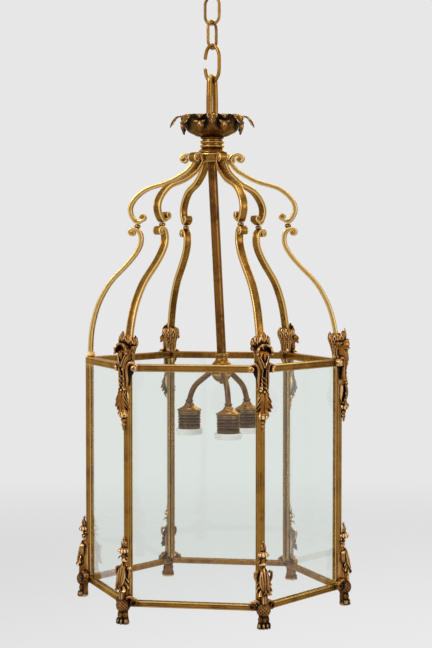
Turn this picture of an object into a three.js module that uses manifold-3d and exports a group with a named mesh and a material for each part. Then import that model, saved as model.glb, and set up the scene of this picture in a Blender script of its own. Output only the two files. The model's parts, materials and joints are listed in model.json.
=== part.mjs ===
// A hanging hexagonal lantern of gilt brass: six glass panes in a post-and-rail case, six double scroll
// arms rising to a hub under a leaf crown, a three-lamp cluster on a central tube, and a short chain.
// Millimetres, +Z up. The origin is where the top chain link bears on whatever it hangs from.
import * as THREE from "three";
import { mergeVertices } from "three/addons/utils/BufferGeometryUtils.js";
import Module from "manifold-3d";

const wasm = await Module();
wasm.setup();

// Clearances
const clearance = 0.3; // between pieces that seat on each other
const chainSlack = 0.5; // between the wires of two linked links

// Case: posts, rails and glass. Heights in the lantern count from the top face of the upper frame.
const cornerRadius = 200; // axis to the line where the backs of a post meet
const caseHeight = 352; // top face of the upper frame down to the top face of the lower frame
const topRailHeight = 11;
const bottomRailHeight = 9;
const railWidth = 12;
const railStandout = 6; // frame corner beyond the post's corner line
const railBevel = 1.2;
const postWidth = 14;
const postStandout = 5; // rounded front of a post beyond its corner line
const postRibWidth = 4;
const postRibDepth = 10;
const glassThickness = 3;
const glassGroove = 3.5; // depth of the rails' glass grooves

// Hub: a turned drum with two rings above it
const hubHeight = 307; // underside of the hub
const hubRadius = 25.5;
const hubDrumHeight = 14.5;
const hubShoulder = 8.7; // height of the sloping shoulder on the drum
const hubNeckRadius = 15.5;
const ringRadius = 19;
const ringHeight = 5;
const ringGap = 1.5; // neck showing above each ring
const hubEdge = 1.5; // chamfer round the underside

// Scroll arms: flat bars with rolled ends, hub to waist and waist to frame corner
const barWidth = 12;
const barThickness = 6.5;
const hubRollRadius = 8.2;
const hubRollOut = 18.5; // centre of the upper roll beyond the hub's side
const hubRollRise = 5.8; // and above the hub's underside
const waistRadius = 119.5; // where the two scrolls of an arm meet
const waistHeight = 214.5;
const innerRollRadius = 7;
const outerRollRadius = 7.5;
const rollWidth = 13.5;
const lugWidth = 9; // flat lug on an arm's back, screwed to the hub's side
const lugHeight = 8;
const lugRise = 2; // its lower edge above the hub's underside
const beadRadius = 4.8;
const footInset = 3; // foot of an arm inside the post's corner line
const footBlockLength = 10; // along the radius
const footBlockWidth = 16;
const footBlockHeight = 6;

// Crown: a round-bellied cup with curled leaves
const crownHeight = 37.8; // from the hub's top to the top of the leaves
const crownNeckRadius = 18;
const crownNeckHeight = 3;
const crownBellyRadius = 39;
const crownBellyHeight = 16; // of the belly's side above the crown's foot
const crownRimRadius = 44;
const crownLip = 2; // turned-out edge of the rim
const crownRimDrop = 1.5; // rim below the top of the leaves
const crownWall = 3;
const crownColumnRadius = 11;
const leafCount = 8;
const leafReach = 66;
const leafDrop = 19.5; // tip below the top of the leaf
const leafWidth = 20;
const leafThickness = 2.6;
const leafFold = 1.5; // edges of a leaf below its midrib
const crownTurn = 9; // degrees that the crown is screwed round from the front pane

// Suspension loop: pear-shaped eye on a flanged foot, with a screwed shank down through the crown
const loopHeight = 66.5; // foot to the top of the eye
const loopWire = 9;
const loopFootRadius = 14;
const loopFootHeight = 7;
const loopFootRim = 2.5; // height of the foot's straight rim
const loopFootInset = 3; // of its top inside its rim
const loopLegSpread = 9.5; // axis to the middle of a leg at the foot
const loopTopSpread = 8; // the same near the top
const shankRadius = 4;
const shankReach = 12; // length of shank in the hub

// Chain, from the top down: two oval links and an open hook link
const linkWire = 4.5;
const linkWidth = 30;
const linkLength = 47.5;
const hookWire = 5.5;
const hookWidth = 31;
const hookLength = 63;
const hookMouth = 12.5; // gap between the hook's two tips
const chainTurn = -21; // degrees from the front pane to the plane of the top link

// Lamp cluster
const tubeRadius = 7.2;
const tubeBore = 5.5;
const tubeSeat = 12; // length of tube in the hub, and in the cluster
const clusterTop = 8; // top of the cluster's cap above the upper frame
const clusterOffset = 15; // the tube hangs a little out of true, towards the right
const clusterCapHeight = 17;
const clusterCapRadius = 14.4;
const clusterRadius = 16;
const clusterBand = 13; // straight band under the cap
const clusterBowl = 19; // depth of the round bottom
const lampCount = 3;
const lampRadius = 54; // cluster axis to a lampholder's axis
const lampTurn = 20; // degrees from the front pane to the first lampholder
const lampArmRadius = 4.4;
const lampArmDrop = 80; // top of the cluster down to the top of a lampholder

// Lampholders for a 27 mm screw cap
const holderCapHeight = 12.5;
const flangeLip = 1.9; // the cap's flange beyond the shell
const holderFlangeThickness = 2;
const socketRadius = 13.6;
const insertWall = 1.4;
const insertRoof = 4;
const shellWall = 1.6;
const shellRoof = 2;
const shellHeight = 28; // visible height, between the cap and the porcelain ring
const shellSpigot = 5; // threaded end that the porcelain ring screws onto
const threadStep = 0.7; // depth of that thread
const shellBead = 0.6; // wider band at the top of the shell
const shellBeadHeight = 8;
const nippleHole = 5; // radius of the hole that the arm's nipple and the wires pass
const ringWall = 4.8; // porcelain outside the thread
const ringEdge = 1.5;
const porcelainHeight = 9.5;

// Cast mounts on the corners
const mountDrop = 97; // upper mount below the top of the frame
const mountRise = 46; // and above it
const mountBulge = 8; // its leaf beyond the frame corner
const mountHalfWidth = 13;
const mountKnobDrop = 73; // round knob under the leaf
const mountKnobRadius = 7;
const sprayHalfWidth = 15.5; // spray of leaves round the arm's foot
const sprayDepth = 13;
const sprayInset = 10; // its middle inside the frame corner
const armSlot = 0.6; // room round the arm's foot
const mountVoluteRadius = 7.5;
const mountVoluteReach = 19; // frame corner to a volute's centre, along the rail
const mountVoluteThickness = 6.5;
const kneeRise = 95; // lower mount above the lower frame
const pawDrop = 34; // and below its top face
const pawReach = 10; // toes beyond the frame corner
const kneeRadius = 11;
const kneeForward = 3.5; // middle of the knee beyond the frame corner
const kneeStandoff = 12; // scroll of the lower mount beyond the frame corner
const kneeHalfWidth = 11;
const kneeBarThickness = 6;

// Derived places
const degree = Math.PI / 180;
const sixth = 60 * degree;
const frameCorner = cornerRadius + railStandout;
const frameInnerCorner = frameCorner - railWidth / Math.cos(sixth / 2);
const hubDrumTop = hubHeight + hubDrumHeight;
const hubNeckBottom = hubDrumTop + hubShoulder;
const hubTop = hubNeckBottom + 2 * (ringHeight + ringGap);
const crownBottom = hubTop + clearance;
const crownRim = hubTop + crownHeight;
const loopBase = crownRim - 2 + clearance;
const loopTop = loopBase + loopHeight;
const lampTop = clusterTop - lampArmDrop;
const flangeBottom = lampTop - holderCapHeight;
const insertRadius = socketRadius + insertWall;
const shellBore = insertRadius + clearance;
const spigotRadius = shellBore + shellWall;
const shellRadius = spigotRadius + threadStep;
const holderFlangeRadius = shellRadius + flangeLip;
const ringSeat = spigotRadius + clearance;
const ringOuterRadius = ringSeat + ringWall;
const shellTop = flangeBottom - clearance;
const shellBottom = shellTop - shellHeight;
const footRadius = cornerRadius - footInset;
// The foot block's outer corners stay over the frame, whose sides fall away from its corner
const footBlockFront = frameCorner - (footBlockWidth / 2) * Math.tan(sixth / 2) - clearance;
const barOffset = barThickness / 2;

// Levels of the chain, counted down from the origin
const upperLinkBottom = linkWire / 2 - (linkLength - linkWire);
const lowerLinkTop = upperLinkBottom + linkWire + chainSlack;
const lowerLinkBottom = lowerLinkTop - (linkLength - linkWire);
const hookTop = lowerLinkBottom + (linkWire + hookWire) / 2 + chainSlack;
const hookBottom = hookTop - (hookLength - hookWire);
const loopTopLevel = hookBottom + (hookWire + loopWire) / 2 + chainSlack;
const lanternLevel = loopTopLevel - (loopTop - loopWire / 2);

// Materials
const gilt = new THREE.MeshStandardMaterial({ color: 0xb98a3a, roughness: 0.36, metalness: 0.95 });
const bronze = new THREE.MeshStandardMaterial({ color: 0x6b4a26, roughness: 0.45, metalness: 0.9 });
const porcelain = new THREE.MeshStandardMaterial({ color: 0xeeeee9, roughness: 0.25, metalness: 0 });
const glass = new THREE.MeshStandardMaterial({
  color: 0xd8e4de,
  roughness: 0.04,
  metalness: 0,
  transparent: true,
  opacity: 0.2,
});

// Solids
function solidOf(geometry) {
  const bare = geometry.index ? geometry.toNonIndexed() : geometry.clone();
  bare.deleteAttribute("normal");
  bare.deleteAttribute("uv");
  const merged = mergeVertices(bare, 1e-3);
  return new wasm.Manifold(
    new wasm.Mesh({
      numProp: 3,
      vertProperties: merged.attributes.position.array,
      triVerts: new Uint32Array(merged.index.array),
    }),
  );
}

function geometryOf(solid) {
  const mesh = solid.getMesh();
  const geometry = new THREE.BufferGeometry();
  geometry.setAttribute("position", new THREE.BufferAttribute(mesh.vertProperties, 3));
  geometry.setIndex(new THREE.BufferAttribute(mesh.triVerts, 1));
  geometry.computeVertexNormals();
  return geometry;
}

const join = (...solids) => solids.reduce((whole, next) => whole.add(next));

// Turned shapes: [radius, height] pairs, listed upwards along the outside
function turned(profile, segments) {
  const points = profile.map(([radius, height]) => new THREE.Vector2(radius, height));
  return new THREE.LatheGeometry(points, segments).rotateX(90 * degree);
}

// A box given by its lowest and highest corner
function block([x0, y0, z0], [x1, y1, z1]) {
  const box = new THREE.BoxGeometry(x1 - x0, y1 - y0, z1 - z0);
  return box.translate((x0 + x1) / 2, (y0 + y1) / 2, (z0 + z1) / 2);
}

// A short round boss whose axis is the tangential direction
function roll(radius, width, [x, z]) {
  return new THREE.CylinderGeometry(radius, radius, width, 10).translate(x, 0, z);
}

function ball(radius, [x, y, z], stretch = [1, 1, 1]) {
  return new THREE.SphereGeometry(radius, 8, 5).scale(...stretch).translate(x, y, z);
}

// Moves every vertex by a rule
function reshaped(geometry, rule) {
  const place = geometry.attributes.position;
  const point = new THREE.Vector3();
  for (let i = 0; i < place.count; i++) {
    point.fromBufferAttribute(place, i);
    place.setXYZ(i, ...rule(point));
  }
  return geometry;
}

// A value read off a list of [position, value] pairs, straight between them
function along(list, position) {
  const last = list.length - 1;
  const next = list.findIndex(([at]) => at >= position);
  if (next === 0) return list[0][1];
  if (next < 0) return list[last][1];
  const [[a, va], [b, vb]] = [list[next - 1], list[next]];
  return va + ((vb - va) * (position - a)) / (b - a);
}

// A closed outline in a plane, as a polygon through [x, y] pairs
function outline(points) {
  return new THREE.Shape(points.map(([x, y]) => new THREE.Vector2(x, y)));
}

function hexagon(radius, Kind = THREE.Shape) {
  const corners = [];
  for (let i = 0; i < 6; i++)
    corners.push(new THREE.Vector2(radius * Math.cos(i * sixth), radius * Math.sin(i * sixth)));
  return new Kind(corners);
}

// A curve in the radial plane through [radius, height] pairs
function radialCurve(points) {
  return new THREE.CatmullRomCurve3(points.map(([radius, height]) => new THREE.Vector3(radius, 0, height)));
}

// A flat bar drawn along a radial curve
function bar(points, steps, width = barWidth, thickness = barThickness) {
  const section = outline([
    [-width / 2, -thickness / 2],
    [width / 2, -thickness / 2],
    [width / 2, thickness / 2],
    [-width / 2, thickness / 2],
  ]);
  return new THREE.ExtrudeGeometry(section, { steps, extrudePath: radialCurve(points), curveSegments: 1 });
}

function roundSection(radius, sides) {
  const points = [];
  for (let i = 0; i < sides; i++) {
    const angle = (2 * Math.PI * i) / sides;
    points.push([radius * Math.cos(angle), radius * Math.sin(angle)]);
  }
  return outline(points);
}

function rod(curve, radius, steps, sides = 8) {
  const section = roundSection(radius, sides);
  return new THREE.ExtrudeGeometry(section, { steps, extrudePath: curve, curveSegments: 1 });
}

// The tree: the part holds the chain and the lantern, and each piece is a named mesh
const part = new THREE.Group();
const chain = new THREE.Group();
chain.rotation.z = chainTurn * degree;
const lantern = new THREE.Group();
lantern.position.z = lanternLevel;
part.add(chain, lantern);

function piece(parent, name, geometry, material) {
  const mesh = new THREE.Mesh(geometry, material);
  mesh.name = name;
  parent.add(mesh);
  return mesh;
}

// Chain
function ovalLink(top, turn) {
  const half = (linkWidth - linkWire) / 2;
  const bottom = top - (linkLength - linkWire);
  const points = [];
  for (let end = 0; end < 2; end++) {
    const centre = end === 0 ? bottom + half : top - half;
    for (let k = -3; k <= 3; k++) {
      const angle = k * 30 * degree;
      const side = end === 0 ? 1 : -1;
      const across = side * half * Math.sin(angle);
      points.push(new THREE.Vector3(across, 0, centre - side * half * Math.cos(angle)));
    }
  }
  // The first point is the middle of the lower bend, so that a ring of faces lies there
  const curve = new THREE.CatmullRomCurve3([...points.slice(3), ...points.slice(0, 3)], true, "centripetal");
  return new THREE.TubeGeometry(curve, 24, linkWire / 2, 8, true).rotateZ(turn);
}

piece(chain, "chain_link_upper", ovalLink(linkWire / 2, 0), gilt);
piece(chain, "chain_link_lower", ovalLink(lowerLinkTop, 90 * degree), gilt);

function openHook() {
  const half = (hookWidth - hookWire) / 2;
  const height = hookTop - hookBottom;
  const middle = height / 2;
  const tip = hookMouth / 2;
  const bend = 0.62 * half;
  const points = [
    [-half, middle + tip],
    [-0.9 * half, middle + tip + 8],
    [-bend, height - 5],
    [0, height],
    [bend, height - 5],
    [0.95 * half, middle + tip + 8],
    [half, middle],
    [0.95 * half, middle - tip - 8],
    [bend, 5],
    [0, 0],
    [-bend, 5],
    [-0.9 * half, middle - tip - 8],
    [-half, middle - tip],
  ].map(([across, up]) => new THREE.Vector3(across, 0, hookBottom + up));
  return rod(new THREE.CatmullRomCurve3(points), hookWire / 2, 32);
}

piece(chain, "open_hook_link", openHook(), gilt);

// Suspension loop
function suspensionLoop() {
  const top = loopTop - loopWire / 2;
  const legFoot = loopBase + loopFootHeight / 2;
  const halfOutline = [
    [loopLegSpread, legFoot],
    [loopLegSpread, legFoot + 0.15 * loopHeight],
    [loopLegSpread, legFoot + 0.35 * loopHeight],
    [0.5 * (loopLegSpread + loopTopSpread), legFoot + 0.55 * loopHeight],
    [loopTopSpread, top - loopTopSpread],
    [0.7 * loopTopSpread, top - 0.3 * loopTopSpread],
  ];
  const across = [...halfOutline, [0, top], ...halfOutline.map(([y, z]) => [-y, z]).reverse()];
  const curve = new THREE.CatmullRomCurve3(across.map(([y, z]) => new THREE.Vector3(y, 0, z)));
  const eye = rod(curve, loopWire / 2, 24);
  const shankBottom = hubTop - shankReach;
  const foot = turned(
    [
      [0, shankBottom],
      [shankRadius, shankBottom],
      [shankRadius, loopBase],
      [loopFootRadius, loopBase],
      [loopFootRadius, loopBase + loopFootRim],
      [loopFootRadius - loopFootInset, loopBase + loopFootHeight],
      [0, loopBase + loopFootHeight],
    ],
    16,
  );
  return geometryOf(join(solidOf(eye), solidOf(foot)));
}

const loopMesh = piece(lantern, "suspension_loop", suspensionLoop(), gilt);
loopMesh.rotation.z = (chainTurn + 90) * degree;

// Leaf crown. A leaf starts in the cup's wall at the belly, rises with it and curls over outside the rim.
const bellyLevel = crownBottom + crownBellyHeight;
const rimLevel = crownRim - crownRimDrop;
const wallMiddle = crownWall / 2;

function leaf() {
  const crest = crownRim - leafThickness / 2;
  const curl = leafReach - crownRimRadius;
  const stations = [
    [0, crownBellyRadius - wallMiddle, bellyLevel, 0.6],
    [0.25, crownRimRadius - crownLip - wallMiddle, rimLevel - 0.35 * leafDrop, 1],
    [0.42, crownRimRadius + crownLip, crest - 0.08 * leafDrop, 1],
    [0.58, crownRimRadius + 0.45 * curl, crest, 0.85],
    [0.75, crownRimRadius + 0.75 * curl, crest - 0.15 * leafDrop, 0.7],
    [0.89, crownRimRadius + 0.95 * curl, crest - 0.5 * leafDrop, 0.45],
    [1, leafReach, crownRim - leafDrop, 0.08],
  ];
  const radius = stations.map(([at, r]) => [at, r]);
  const height = stations.map(([at, , h]) => [at, h]);
  const width = stations.map(([at, , , w]) => [at, (w * leafWidth) / 2]);
  const sheet = new THREE.BoxGeometry(1, 2, leafThickness, 7, 2, 1);
  return reshaped(sheet, ({ x, y, z }) => {
    const at = x + 0.5;
    const step = 0.02;
    const dr = along(radius, at + step) - along(radius, at - step);
    const dh = along(height, at + step) - along(height, at - step);
    const length = Math.hypot(dr, dh);
    const lift = z - leafFold * Math.abs(y);
    return [
      along(radius, at) - (lift * dh) / length,
      y * along(width, at),
      along(height, at) + (lift * dr) / length,
    ];
  });
}

function leafCrown() {
  const neckTop = crownBottom + crownNeckHeight;
  const underBelly = neckTop + 0.55 * (bellyLevel - neckTop);
  const floor = neckTop + 0.6 * crownBellyHeight - crownWall / 2;
  const columnTop = loopBase - clearance;
  const bore = shankRadius + clearance;
  const inside = crownBellyRadius - crownWall;
  const cup = turned(
    [
      [bore, crownBottom],
      [hubNeckRadius, crownBottom],
      [crownNeckRadius, neckTop],
      [crownNeckRadius + 0.15 * crownBellyRadius, neckTop + 0.25 * (bellyLevel - neckTop)],
      [0.88 * crownBellyRadius, underBelly],
      [crownBellyRadius, bellyLevel],
      [crownRimRadius, rimLevel - crownLip],
      [crownRimRadius + crownLip, rimLevel],
      [crownRimRadius - crownWall, rimLevel - crownWall / 2],
      [inside, bellyLevel + crownWall / 2],
      [0.88 * inside, underBelly + crownWall],
      [crownColumnRadius, floor],
      [crownColumnRadius, columnTop],
      [bore, columnTop],
      [bore, crownBottom],
    ],
    16,
  );
  const leaves = [];
  for (let i = 0; i < leafCount; i++)
    leaves.push(solidOf(leaf().rotateZ((i * 360 * degree) / leafCount)));
  return geometryOf(join(solidOf(cup), ...leaves));
}

const crownMesh = piece(lantern, "leaf_crown", leafCrown(), gilt);
crownMesh.rotation.z = (crownTurn - 90) * degree;

// Central tube: a straight tube from the hub to the cluster, which hangs a little to the right
const tubeTop = hubHeight + tubeSeat;
const tubeBottom = clusterTop - tubeSeat;
const tubeLean = Math.atan2(clusterOffset, hubHeight - clusterTop);
const tubeShift = (height) => (hubHeight - height) * Math.tan(tubeLean);

// A round bar or bore along the leaning tube's own line, between two heights
function leaningRound(outer, inner, bottom, top) {
  const section = roundSection(outer, 16);
  if (inner > 0) section.holes.push(new THREE.Path(roundSection(inner, 16).getPoints()));
  const length = (top - bottom) / Math.cos(tubeLean);
  const round = new THREE.ExtrudeGeometry(section, { depth: length, bevelEnabled: false, curveSegments: 1 });
  return round.rotateY(-tubeLean).translate(tubeShift(bottom), 0, bottom);
}

piece(lantern, "central_tube", leaningRound(tubeRadius, tubeBore, tubeBottom, tubeTop), gilt);

// Hub
function hub() {
  const ring = (base) => [
    [hubNeckRadius, base],
    [ringRadius, base + ringHeight * 0.35],
    [ringRadius, base + ringHeight * 0.65],
    [hubNeckRadius, base + ringHeight],
  ];
  const body = turned(
    [
      [0, hubHeight],
      [hubRadius - hubEdge, hubHeight],
      [hubRadius, hubHeight + hubEdge],
      [hubRadius, hubDrumTop],
      [hubRadius - 5, hubNeckBottom - 2],
      ...ring(hubNeckBottom),
      ...ring(hubNeckBottom + ringHeight + ringGap),
      [hubNeckRadius, hubTop],
      [0, hubTop],
    ],
    24,
  );
  const seatTop = tubeTop + clearance;
  const tubeHole = leaningRound(tubeRadius + clearance, 0, hubHeight - 5, seatTop);
  const shankHole = new THREE.CylinderGeometry(
    shankRadius + clearance,
    shankRadius + clearance,
    2 * (shankReach + clearance),
    16,
  );
  shankHole.rotateX(90 * degree).translate(0, 0, hubTop);
  return geometryOf(solidOf(body).subtract(solidOf(tubeHole)).subtract(solidOf(shankHole)));
}

piece(lantern, "hub", hub(), gilt);

// Scroll arms, drawn in the radial plane of a corner
function upperScroll() {
  const side = hubRadius + clearance + barOffset;
  const rollCentre = [hubRadius + hubRollOut, hubHeight + hubRollRise];
  const rollTop = rollCentre[1] + hubRollRadius - barOffset;
  const start = [side + 9.5, hubHeight - 11.5];
  const volute = [waistRadius - 7.5, waistHeight + innerRollRadius + 0.5];
  const shape = [
    [0.13, 0.09],
    [0.365, 0.215],
    [0.6, 0.29],
    [0.82, 0.365],
    [0.995, 0.49],
    [1.12, 0.65],
    [1.145, 0.8],
    [1.085, 0.935],
  ];
  const sweep = shape.map(([across, down]) => [
    start[0] + across * (waistRadius - start[0]),
    start[1] - down * (start[1] - waistHeight),
  ]);
  const points = [
    [rollCentre[0], rollTop],
    [side + 7.5, rollTop + 0.8],
    [side + 1.8, hubHeight + 7],
    [side, hubHeight + 1.5],
    [side + 2.8, hubHeight - 3.5],
    start,
    ...sweep,
    [waistRadius, waistHeight],
    [volute[0] + 1, volute[1] - innerRollRadius + barOffset],
  ];
  const lug = block(
    [hubRadius + clearance, -lugWidth / 2, hubHeight + lugRise],
    [side + barOffset / 2, lugWidth / 2, hubHeight + lugRise + lugHeight],
  );
  return join(
    solidOf(bar(points, 26)),
    solidOf(lug),
    solidOf(roll(hubRollRadius, rollWidth, rollCentre)),
    solidOf(roll(innerRollRadius, rollWidth, volute)),
  );
}

const upperScrollSolid = upperScroll();
const upperScrollLow = waistHeight - barOffset;
const lowerScrollTop = upperScrollLow - clearance - beadRadius * 1.15;

function lowerScroll() {
  const rollCentre = [waistRadius + 8.5, lowerScrollTop - outerRollRadius];
  const crest = [waistRadius + 1.5, lowerScrollTop - barOffset];
  const foot = [footRadius, footBlockHeight];
  const shape = [
    [-0.06, 0.98],
    [-0.092, 0.938],
    [-0.085, 0.892],
    [-0.026, 0.836],
    [0.13, 0.754],
    [0.34, 0.668],
    [0.553, 0.581],
    [0.73, 0.474],
    [0.849, 0.372],
    [0.928, 0.265],
    [0.98, 0.148],
  ];
  const sweep = shape.map(([across, up]) => [
    crest[0] + across * (foot[0] - crest[0]),
    foot[1] + up * (crest[1] - foot[1]),
  ]);
  const points = [[rollCentre[0] + 1, crest[1]], crest, ...sweep, foot, [foot[0], foot[1] / 2]];
  const base = block(
    [footBlockFront - footBlockLength, -footBlockWidth / 2, clearance],
    [footBlockFront, footBlockWidth / 2, footBlockHeight],
  );
  const beadTop = upperScrollLow - clearance;
  const bead = solidOf(ball(beadRadius, [waistRadius + 0.5, 0, lowerScrollTop + beadRadius * 0.25]));
  const above = block([0, -50, beadTop], [waistRadius + 50, 50, beadTop + 50]);
  return join(
    solidOf(bar(points, 20)),
    solidOf(roll(outerRollRadius, rollWidth, rollCentre)),
    solidOf(base),
    bead.subtract(solidOf(above)),
  );
}

const lowerScrollSolid = lowerScroll();

// Frames: bevelled six-sided rings with a glass groove along each rail
function frameRing(bottom, height, grooves) {
  const ring = hexagon(frameCorner);
  ring.holes.push(hexagon(frameInnerCorner, THREE.Path));
  const body = new THREE.ExtrudeGeometry(ring, {
    depth: height - 2 * railBevel,
    bevelThickness: railBevel,
    bevelSize: railBevel,
    bevelOffset: -railBevel,
    bevelSegments: 1,
    curveSegments: 1,
  }).translate(0, 0, bottom + railBevel);
  return geometryOf(grooves.reduce((whole, groove) => whole.subtract(solidOf(groove)), solidOf(body)));
}

// Glass panes: each stands with its edges behind two posts and in the rails' grooves
const paneStart =
  (postRibWidth / 2 + clearance + (glassThickness + clearance) * Math.sin(sixth / 2)) / Math.cos(sixth / 2);
const paneWidth = cornerRadius - 2 * paneStart;
const paneFront = cornerRadius * Math.cos(sixth / 2) - clearance;
const paneTop = glassGroove - topRailHeight - clearance;
const paneBottom = -caseHeight - glassGroove + clearance;

function pane(grown, bottom, top) {
  const half = paneWidth / 2 + grown;
  return block([paneFront - glassThickness - grown, -half, bottom], [paneFront + grown, half, top]);
}

const paneTurns = [0, 1, 2, 3, 4, 5].map((i) => (i * 60 - 90) * degree);
const upperGrooves = paneTurns.map((turn) =>
  pane(clearance, -topRailHeight - 5, paneTop + clearance).rotateZ(turn),
);
const lowerGrooves = paneTurns.map((turn) =>
  pane(clearance, paneBottom - clearance, 5 - caseHeight).rotateZ(turn),
);
piece(lantern, "top_frame", frameRing(-topRailHeight, topRailHeight, upperGrooves), gilt);
const lowerFrameBottom = -caseHeight - bottomRailHeight;
piece(lantern, "bottom_frame", frameRing(lowerFrameBottom, bottomRailHeight, lowerGrooves), gilt);

const paneNames = ["front", "front_right", "back_right", "back", "back_left", "front_left"];
paneNames.forEach((side, i) => {
  const sheet = piece(lantern, "glass_pane_" + side, pane(0, paneBottom, paneTop), glass);
  sheet.rotation.z = paneTurns[i];
});

// Corner posts: rounded outside, with a rib between the edges of the two panes
function cornerPost() {
  const half = postWidth / 2;
  const lean = Math.tan(sixth / 2);
  const back = -half * lean;
  const points = [];
  for (let k = 0; k <= 8; k++) {
    const angle = (k / 8 - 0.5) * Math.PI;
    points.push([back + (postStandout - back) * Math.cos(angle), half * Math.sin(angle)]);
  }
  const rib = postRibWidth / 2;
  points.push([-rib * lean, rib], [-postRibDepth, rib], [-postRibDepth, -rib], [-rib * lean, -rib]);
  const section = outline(points.map(([x, y]) => [x + cornerRadius, y]));
  const bottom = clearance - caseHeight;
  const length = caseHeight - topRailHeight - 2 * clearance;
  return new THREE.ExtrudeGeometry(section, { depth: length, bevelEnabled: false }).translate(0, 0, bottom);
}

// Cast mounts, in a corner's own axes: x outwards, y along the tangent. Each is hollowed at the back to
// the shape of the frame corner that it is screwed to.
const seatCorner = frameCorner + clearance;

function frameSeat(bottom, top) {
  const prism = new THREE.ExtrudeGeometry(hexagon(seatCorner), { depth: top - bottom, bevelEnabled: false });
  return solidOf(prism.translate(0, 0, bottom));
}

// Scrolls along the two rails beside a corner, each a band that ends in a round boss
function railVolutes(height) {
  const bandHalf = 0.6 * mountVoluteRadius;
  const scrolls = [1, -1].map((side) => {
    const radius = mountVoluteRadius;
    const disc = new THREE.CylinderGeometry(radius, radius, 2 * mountVoluteThickness, 10);
    disc.rotateZ(90 * degree).translate(0, side * mountVoluteReach, 0);
    const ends = side > 0 ? [0, mountVoluteReach] : [-mountVoluteReach, 0];
    const band = block([0, ends[0], -bandHalf], [mountVoluteThickness, ends[1], bandHalf]);
    const turn = (side * sixth) / 2;
    return [disc, band].map((shape) => solidOf(shape.rotateZ(turn).translate(seatCorner, 0, height)));
  });
  return join(...scrolls.flat());
}

// A leaf-like body: a barrel whose half width, reach and lean are read off lists by height
function castBody(bottom, top, halfWidth, reach, lean, rows) {
  const barrel = new THREE.CylinderGeometry(1, 1, 1, 7, rows).rotateX(90 * degree);
  return solidOf(
    reshaped(barrel, ({ x, y, z }) => {
      const height = bottom + (z + 0.5) * (top - bottom);
      const middle = seatCorner + along(lean, height);
      return [middle + x * along(reach, height), y * along(halfWidth, height), height];
    }),
  );
}

function upperMount() {
  const leafHalf = [
    [-mountDrop, 1.5],
    [1 - mountKnobDrop - 2 * mountKnobRadius, 4],
    [3 - mountKnobDrop, 0.42 * mountHalfWidth],
    [-0.55 * mountKnobDrop, mountHalfWidth],
    [-0.2 * mountKnobDrop, 0.7 * mountHalfWidth],
    [clearance, 0.85 * mountHalfWidth],
  ];
  const leafOut = [
    [-mountDrop, 1.5],
    [1 - mountKnobDrop - 2 * mountKnobRadius, 4],
    [3 - mountKnobDrop, 0.6 * mountBulge],
    [-0.55 * mountKnobDrop, mountBulge],
    [-0.2 * mountKnobDrop, 0.7 * mountBulge],
    [clearance, mountBulge],
  ];
  const knob = ball(mountKnobRadius, [seatCorner + 2, 0, -mountKnobDrop], [1, 1.15, 0.85]);
  const low = join(
    castBody(-mountDrop, clearance + 2, leafHalf, leafOut, [[0, 0]], 6),
    railVolutes(-topRailHeight / 2),
    solidOf(knob),
  ).subtract(frameSeat(-mountDrop - 5, clearance));
  const sprayHalf = [
    [clearance, 0.62 * sprayHalfWidth],
    [0.3 * mountRise, 0.62 * sprayHalfWidth],
    [0.65 * mountRise, sprayHalfWidth],
    [0.85 * mountRise, 0.8 * sprayHalfWidth],
    [mountRise, 0.25 * sprayHalfWidth],
  ];
  const sprayOut = [
    [clearance, 0.5 * sprayDepth],
    [0.3 * mountRise, 0.5 * sprayDepth],
    [0.65 * mountRise, sprayDepth],
    [0.85 * mountRise, 0.85 * sprayDepth],
    [mountRise, 0.3 * sprayDepth],
  ];
  const sprayLean = [
    [clearance, -3],
    [0.3 * mountRise, -3],
    [0.65 * mountRise, -sprayInset],
    [mountRise, -sprayInset],
  ];
  const spray = castBody(clearance, mountRise, sprayHalf, sprayOut, sprayLean, 5);
  const half = barWidth / 2 + armSlot;
  const front = footRadius + barOffset + armSlot;
  const slot = block([seatCorner - 50, -half, 0], [front, half, mountRise + 5]);
  const blockHalf = footBlockWidth / 2 + clearance;
  const blockTop = footBlockHeight + clearance;
  const blockFront = footBlockFront + clearance;
  const blockRoom = block([seatCorner - 50, -blockHalf, 0], [blockFront, blockHalf, blockTop]);
  return join(low, spray).subtract(solidOf(slot)).subtract(solidOf(blockRoom));
}

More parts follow.
